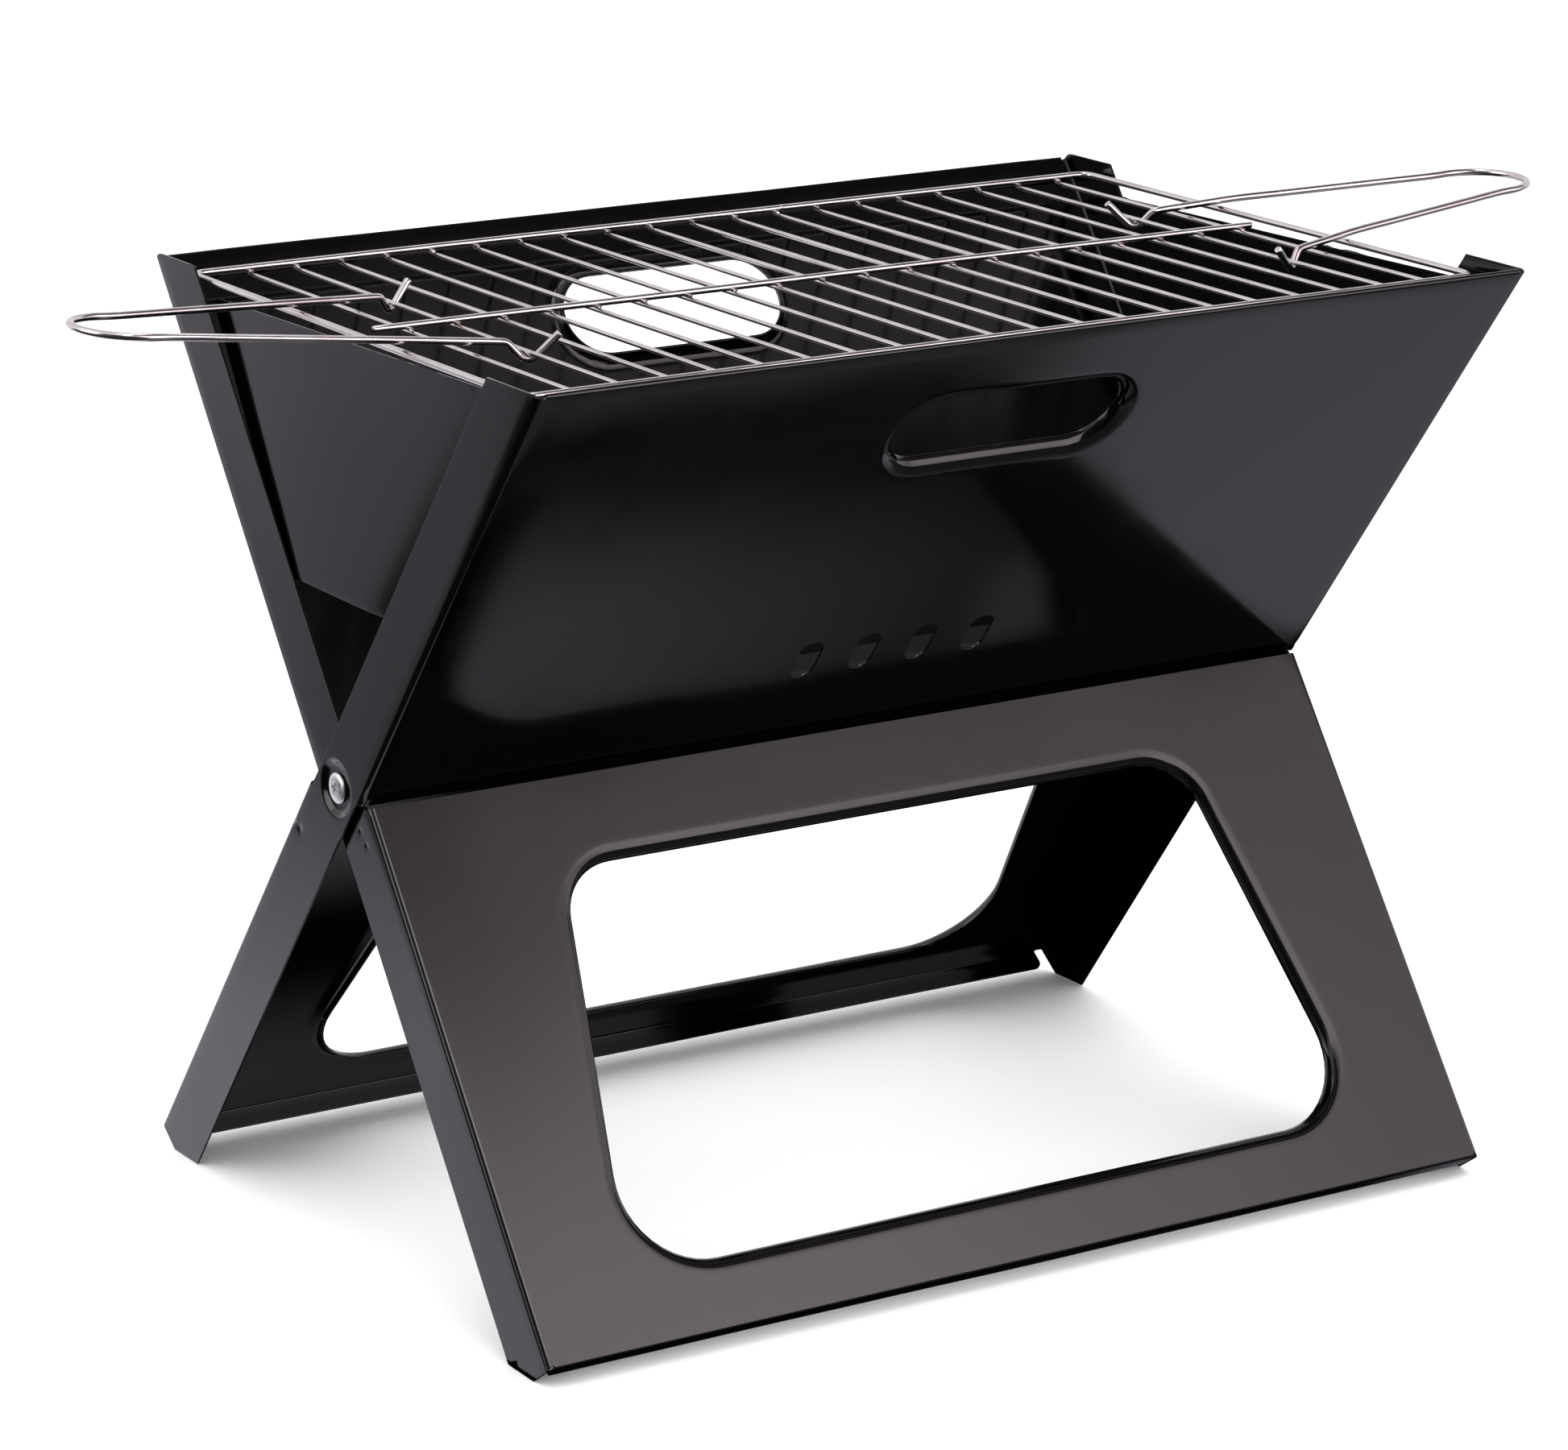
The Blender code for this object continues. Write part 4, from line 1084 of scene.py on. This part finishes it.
def plate_points(side, inset, slope):
    """The plate's outer face, slightly wavy and leaning outward lower down."""
    y, z = lay(slope, HINGE_OFFSET - inset)
    bulge = 0.10 * np.sin(inset / 34 + 0.4) * np.sin(slope / 29 + 1.0)
    bulge = bulge + 0.04 * np.sin(inset / 13 + slope / 17)
    bulge = bulge + np.clip((369.0 - z) / 100.0, 0, 1) * 3.4 * np.clip((inset - 5) / 35.0, 0, 1)
    return np.stack([side * (PLATE_X + PLATE_T / 2 + bulge) + X0, y, z], axis=1)


def plate_curl(side):
    """The curled edge round the hinge wire: (points, faces)."""
    points, quads = [], []
    for slope in CURL_SLOPES:
        for k in range(CURL_STEPS + 1):
            turn = math.radians(-62 + 318 * k / CURL_STEPS)
            for radius in (CURL_R, CURL_R - PLATE_T):
                points.append((side * (PLATE_X + radius * math.sin(turn)) + X0,
                               *lay(slope, HINGE_OFFSET - radius * math.cos(turn))))
    row = 2 * (CURL_STEPS + 1)
    last = len(CURL_SLOPES) - 1
    for i in range(last):
        for k in range(CURL_STEPS):
            at = i * row + 2 * k
            quads.append((at, at + 2, at + 2 + row, at + row))
            quads.append((at + 1, at + 1 + row, at + 3 + row, at + 3))
        for k in (0, CURL_STEPS):
            at = i * row + 2 * k
            quads.append((at, at + row, at + 1 + row, at + 1))
    for i in (0, last):
        for k in range(CURL_STEPS):
            at = i * row + 2 * k
            quads.append((at, at + 1, at + 3, at + 2))
    return np.array(points), quads


def end_plate(side, label):
    front_offset = HINGE_OFFSET - PLATE_INSET
    corners = [(PLATE_INSET, slope_at(PLATE_BOTTOM, front_offset)),
               on_plate(46.0, PLATE_BOTTOM), on_plate(110.0, PLATE_TOP_REAR - 3.5),
               on_plate(106.0, PLATE_TOP_REAR),
               (PLATE_INSET, slope_at(PLATE_TOP_FRONT, front_offset))]
    loop = divide([rounded(corners, [1.2, 2.0, 1.6, 1.6, 1.2], 4)], 6.0)[0]
    least, most = np.min(loop, axis=0), np.max(loop, axis=0)
    grid = np.array([(inset, slope) for inset in np.arange(least[0] + 3, most[0], 6.0)
                     for slope in np.arange(least[1] + 3, most[1], 6.0)])
    flat, triangles, _ = triangulate(loop, [], grid)
    points = plate_points(side, flat[:, 0], flat[:, 1])
    wrong = face_crosses(points, triangles)[:, 0] * side < 0
    triangles[wrong] = triangles[wrong][:, ::-1]
    verts, _, polys = thicken(points, triangles, PLATE_T, 0.18, np.zeros(len(points), bool))
    curl, quads = plate_curl(side)
    polys = polys + [tuple(vert + len(verts) for vert in quad) for quad in quads]
    thing = mesh_object("firebox_end_plate_" + label, np.concatenate([verts, curl]), polys,
                        PLATE_ENAMEL)
    face_outward(thing.data, sharp_above=0.75)
    tell(thing, "end_plate_" + label, "end_plate_" + label)


for side, label in SIDES:
    end_plate(side, label)

# ---- pieces carried over from the frame -----------------------------------------
for name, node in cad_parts.items():
    if name.startswith(("pivot_washer", "pivot_nut", "hinge_wire")):
        finish = ZINC
    elif name == "charcoal_grate":
        finish = CHARRED
    else:
        continue
    node.data.materials.clear()
    node.data.materials.append(finish)
    edge = node.modifiers.new("edges", "BEVEL")
    edge.width = 0.15 * MM
    edge.segments = 2
    edge.limit_method = "ANGLE"
    edge.angle_limit = math.radians(40)
    edge.use_clamp_overlap = True

# ---- studio ---------------------------------------------------------------------
EYE = (-1177.695 + X0, -1762.634, 795.219)     # the camera's place


def dot(first, second):
    return sum(a * b for a, b in zip(first, second))


def mirror_eye(normal, offset):
    """The eye mirrored in the plane where dot(point, normal) = offset."""
    distance = dot(EYE, normal) - offset
    return [along - 2 * distance * part for along, part in zip(EYE, normal)]


def shaded_place(tree, axes):
    """Coordinates of the shaded point, in millimetres."""
    split = put(tree, "SeparateXYZ", 0, {0: put(tree, "NewGeometry", "Position")})
    return [split.sibling(axis) * 1000.0 for axis in axes]


def show(material, shading):
    feed(material.node_tree.nodes["Material Output"], {"Surface": shading})


def front_glow(floor_x, floor_y):
    """Glow of the floor by where it shows on the front panel: x_at, slope."""
    normal, offset = (0.0, -SIN, -COS), HALF - COS * PIVOT_Z
    eye = mirror_eye(normal, offset)
    lift = floor_y * SIN
    part = (lift + offset) / (lift + dot(normal, eye))
    x_at = floor_x + part * (eye[0] - floor_x) - X0
    slope = (part * eye[2] - (PIVOT_Z - COS * HALF)) / SIN
    # Painted reflection: a lit field on the right, with a curved, softening border.
    drop = 140.0 - slope
    below = maximum(drop, 0.0)
    border = (70.0 + below * 0.62 + below * below * 0.0052
              + maximum(minimum(drop, 0.0) * 2.0, -70.0))
    soft = 14.0 + rise(slope, start=140.0, end=180.0) * 52.0
    lit_field = rise((x_at - border) / soft, start=-1.0, end=1.0) * 0.50
    # A dim patch on the left with a round lower corner and a slanted right edge.
    level = 0.105 - x_at * 0.00122
    level = level + (rise(x_at, start=20.0, end=50.0)
                     * fall(slope, start=85.0, end=115.0) * 0.15)
    past_left = maximum(-165.0 - x_at, 0.0)
    past_low = maximum(88.0 - slope, 0.0)
    away = calc("POWER", past_left * past_left + past_low * past_low, 0.5)
    patch = level * fall(away, start=34.0, end=45.0) * fall(slope, start=98.0, end=206.0)
    patch_edge = 20.0 + (150.0 - slope) * 0.6
    patch = patch * fall(x_at - patch_edge, start=-7.0, end=7.0)
    top_band = rise(slope, start=214.0, end=232.0) * 0.20
    glow = maximum(maximum(lit_field, patch), top_band) + 0.003
    # Beyond the painted reflection fields: dim floor in front, lit floor behind.
    rest = maximum(rise(calc("ABSOLUTE", floor_y), start=190.0, end=310.0),
                   rise(floor_x, start=600.0, end=760.0))
    glow = blend(rest, glow, blend(rise(floor_y, start=-60.0, end=60.0), 0.13, 0.62))
    # Two painted reflection stripes across the floor behind the pivot line, seen only in the
    # gloss.
    near_stripe = (rise(floor_y, start=6.0, end=26.0) * fall(floor_y, start=40.0, end=84.0)
                   * fall(floor_x, start=-125.0, end=-50.0) * 0.42)
    far_stripe = (rise(floor_y, start=96.0, end=136.0) * fall(floor_y, start=150.0, end=190.0)
                  * fall(floor_x, start=-210.0, end=120.0) * 0.16)
    return glow + near_stripe + far_stripe


def left_glow(floor_x, floor_y, plane_x):
    """Glow of the floor by where it shows on the left side: y_at, z_at."""
    eye = (2 * plane_x - EYE[0], EYE[1], EYE[2])
    part = (plane_x - floor_x) / (eye[0] - floor_x)
    y_at = floor_y + part * (eye[1] - floor_y)
    z_at = part * eye[2]
    upper = (0.42 + maximum(z_at - 215.0, 0.0) * 0.0013
             + maximum(y_at, 0.0) * 0.0018 + minimum(y_at, 0.0) * 0.0012)
    lower = 0.62 + (194.0 - z_at) * 0.0060
    lower = blend(rise(y_at, start=-20.0, end=10.0), minimum(lower, 1.08), lower)
    glow = blend(rise(z_at, start=175.0, end=212.0), lower, upper)
    glow = minimum(maximum(glow, 0.2), 1.36) * 0.80
    return blend(rise(y_at, start=-190.0, end=-155.0), 0.03, glow)


def studio_floor():
    """A pale floor; to glossy rays it glows with painted reflections, dark in front and a lit
    sweep to the left.
    """
    bpy.ops.mesh.primitive_plane_add(size=30, location=(0, 0, -0.0002))
    floor = bpy.context.object
    floor.name = "studio_floor"
    material, tree, shader = new_material("studio_floor")
    feed(shader, {"Base Color": (0.86, 0.86, 0.865), "Roughness": 0.65})
    floor_x, floor_y = shaded_place(tree, "XY")
    plane_x = -FRONT_X + X0
    ahead = front_glow(floor_x, floor_y)
    left = left_glow(floor_x, floor_y, plane_x)
    on_left = calc("LESS_THAN", floor_x, plane_x)
    tint = (0.98, 0.935, 1.05)
    glow = put(tree, "Emission", 0, {"Strength": blend(on_left, ahead, left),
                                     "Color": mix(on_left, tint, tint)})
    show(material, put(tree, "MixShader", 0, {0: put(tree, "LightPath", "Is Glossy Ray"),
                                              1: Field(tree, shader.outputs[0]), 2: glow}))
    floor.data.materials.append(material)


def card_glow(tree):
    """Glow of the card by where it shows on the plane of the front leg: x_at, slope."""
    normal, offset = (0.0, -SIN, COS), HALF + COS * PIVOT_Z
    eye = mirror_eye(normal, offset)
    card_x, card_y, card_z = shaded_place(tree, "XYZ")
    depth = card_y * -SIN + card_z * COS
    base = dot(normal, eye)
    part = (offset - base) / (depth - base)
    x_at = eye[0] + part * (card_x - eye[0]) - X0
    y_at = eye[1] + part * (card_y - eye[1])
    slope = (y_at + SIN * HALF) / COS
    head = 1.24 - fall(x_at, start=-218.0, end=-150.0) * 0.45
    foot = maximum(2.85 - maximum(x_at + 100.0, 0.0) * 0.0043, 1.5)
    leg = blend(rise(slope * -1.0, start=40.0, end=240.0), head, foot)
    inner = 0.04 + (rise(slope, start=110.0, end=160.0)
                    * fall(slope, start=196.0, end=212.0) * 0.40)
    return blend(rise(slope, start=-12.0, end=6.0), leg, inner)


def studio_card():
    """A lit card up, in front and to the right, seen only in the sheet's gloss."""
    aim = Vector((0.4933, -0.5286, 0.6912)).normalized()
    bpy.ops.mesh.primitive_plane_add(size=2.4)
    card = bpy.context.object
    card.name = "studio_card"
    card.location = Vector((0.0, -0.08, 0.12)) + aim * 1.3
    card.rotation_euler = (-aim).to_track_quat("Z", "Y").to_euler()
    card.visible_camera = card.visible_diffuse = card.visible_shadow = False
    card.visible_transmission = card.visible_volume_scatter = False
    material, tree, _ = new_material("studio_card")
    show(material, put(tree, "Emission", 0, {"Color": (1.05, 0.92, 1.01),
                                             "Strength": card_glow(tree)}))
    card.data.materials.append(material)


def studio_world():
    world = bpy.data.worlds.new("studio")
    bpy.context.scene.world = world
    world.use_nodes = True
    tree = world.node_tree
    glossy = put(tree, "LightPath", "Is Glossy Ray")
    x = put(tree, "SeparateXYZ", "X", {0: put(tree, "TexCoord", "Generated")})
    y, z = x.sibling("Y"), x.sibling("Z")
    # Slightly darker overhead, brighter to the left.
    sky = rise(z, start=-0.2, end=0.5) * -0.25 + 1.0
    sky = sky + rise(x * -1.0, start=0.1, end=0.8) * 0.25
    # The dark side of the studio, towards the viewer, and one small lamp in it.
    dark = fall(y, start=-0.30, end=0.05) * fall(x, start=0.0, end=0.45)
    sky = blend(dark * fall(z, start=0.50, end=0.66), sky, 0.05)
    to_lamp = x * -0.256 + y * -0.610 + z * 0.752
    sky = sky + rise(to_lamp, start=0.988, end=0.996) * 7.0
    # Strength 1.85 for diffuse light, 1.0 as seen by the camera.
    plain = blend(glossy.sibling("Is Camera Ray"), 1.85, 1.0)
    feed(tree.nodes["Background"], {"Strength": blend(glossy, plain, sky),
                                    "Color": mix(glossy, (1.0, 1.0, 1.0), (1.0, 0.955, 1.0))})


def area_light(name, at, size, power):
    """A rectangular lamp aimed at the body; metres and watts."""
    data = bpy.data.lights.new(name, "AREA")
    data.shape = "RECTANGLE"
    data.size, data.size_y = size
    data.energy = power
    lamp = bpy.data.objects.new(name, data)
    bpy.context.scene.collection.objects.link(lamp)
    lamp.location = at
    lamp.rotation_euler = (Vector((0, 0, 0.2)) - Vector(at)).to_track_quat("-Z", "Y").to_euler()


def studio_camera():
    data = bpy.data.cameras.new("camera")
    data.lens = 125.165803
    data.sensor_width = 36
    data.sensor_fit = "HORIZONTAL"
    data.shift_x = 0.133144913
    data.shift_y = 0.045659301
    data.clip_start, data.clip_end = 0.05, 100
    camera = bpy.data.objects.new("camera", data)
    bpy.context.scene.collection.objects.link(camera)
    right = Vector((0.8573502, -0.51472908, 0.00214498))
    up = Vector((0.14705463, 0.2489284, 0.95729284))
    ahead = Vector((0.49328041, 0.82041978, -0.28911211))
    turn = Matrix((right, up, -ahead)).transposed().to_4x4()
    camera.matrix_world = Matrix.Translation(Vector(EYE) * MM) @ turn
    bpy.context.scene.camera = camera


studio_floor()
studio_card()
studio_world()
area_light("top_box", at=(0.2, -0.4, 2.2), size=(1.6, 1.6), power=14)
area_light("left_box", at=(-1.9, 0.6, 0.9), size=(1.2, 1.4), power=8)
studio_camera()
bpy.context.scene.view_settings.view_transform = "Standard"
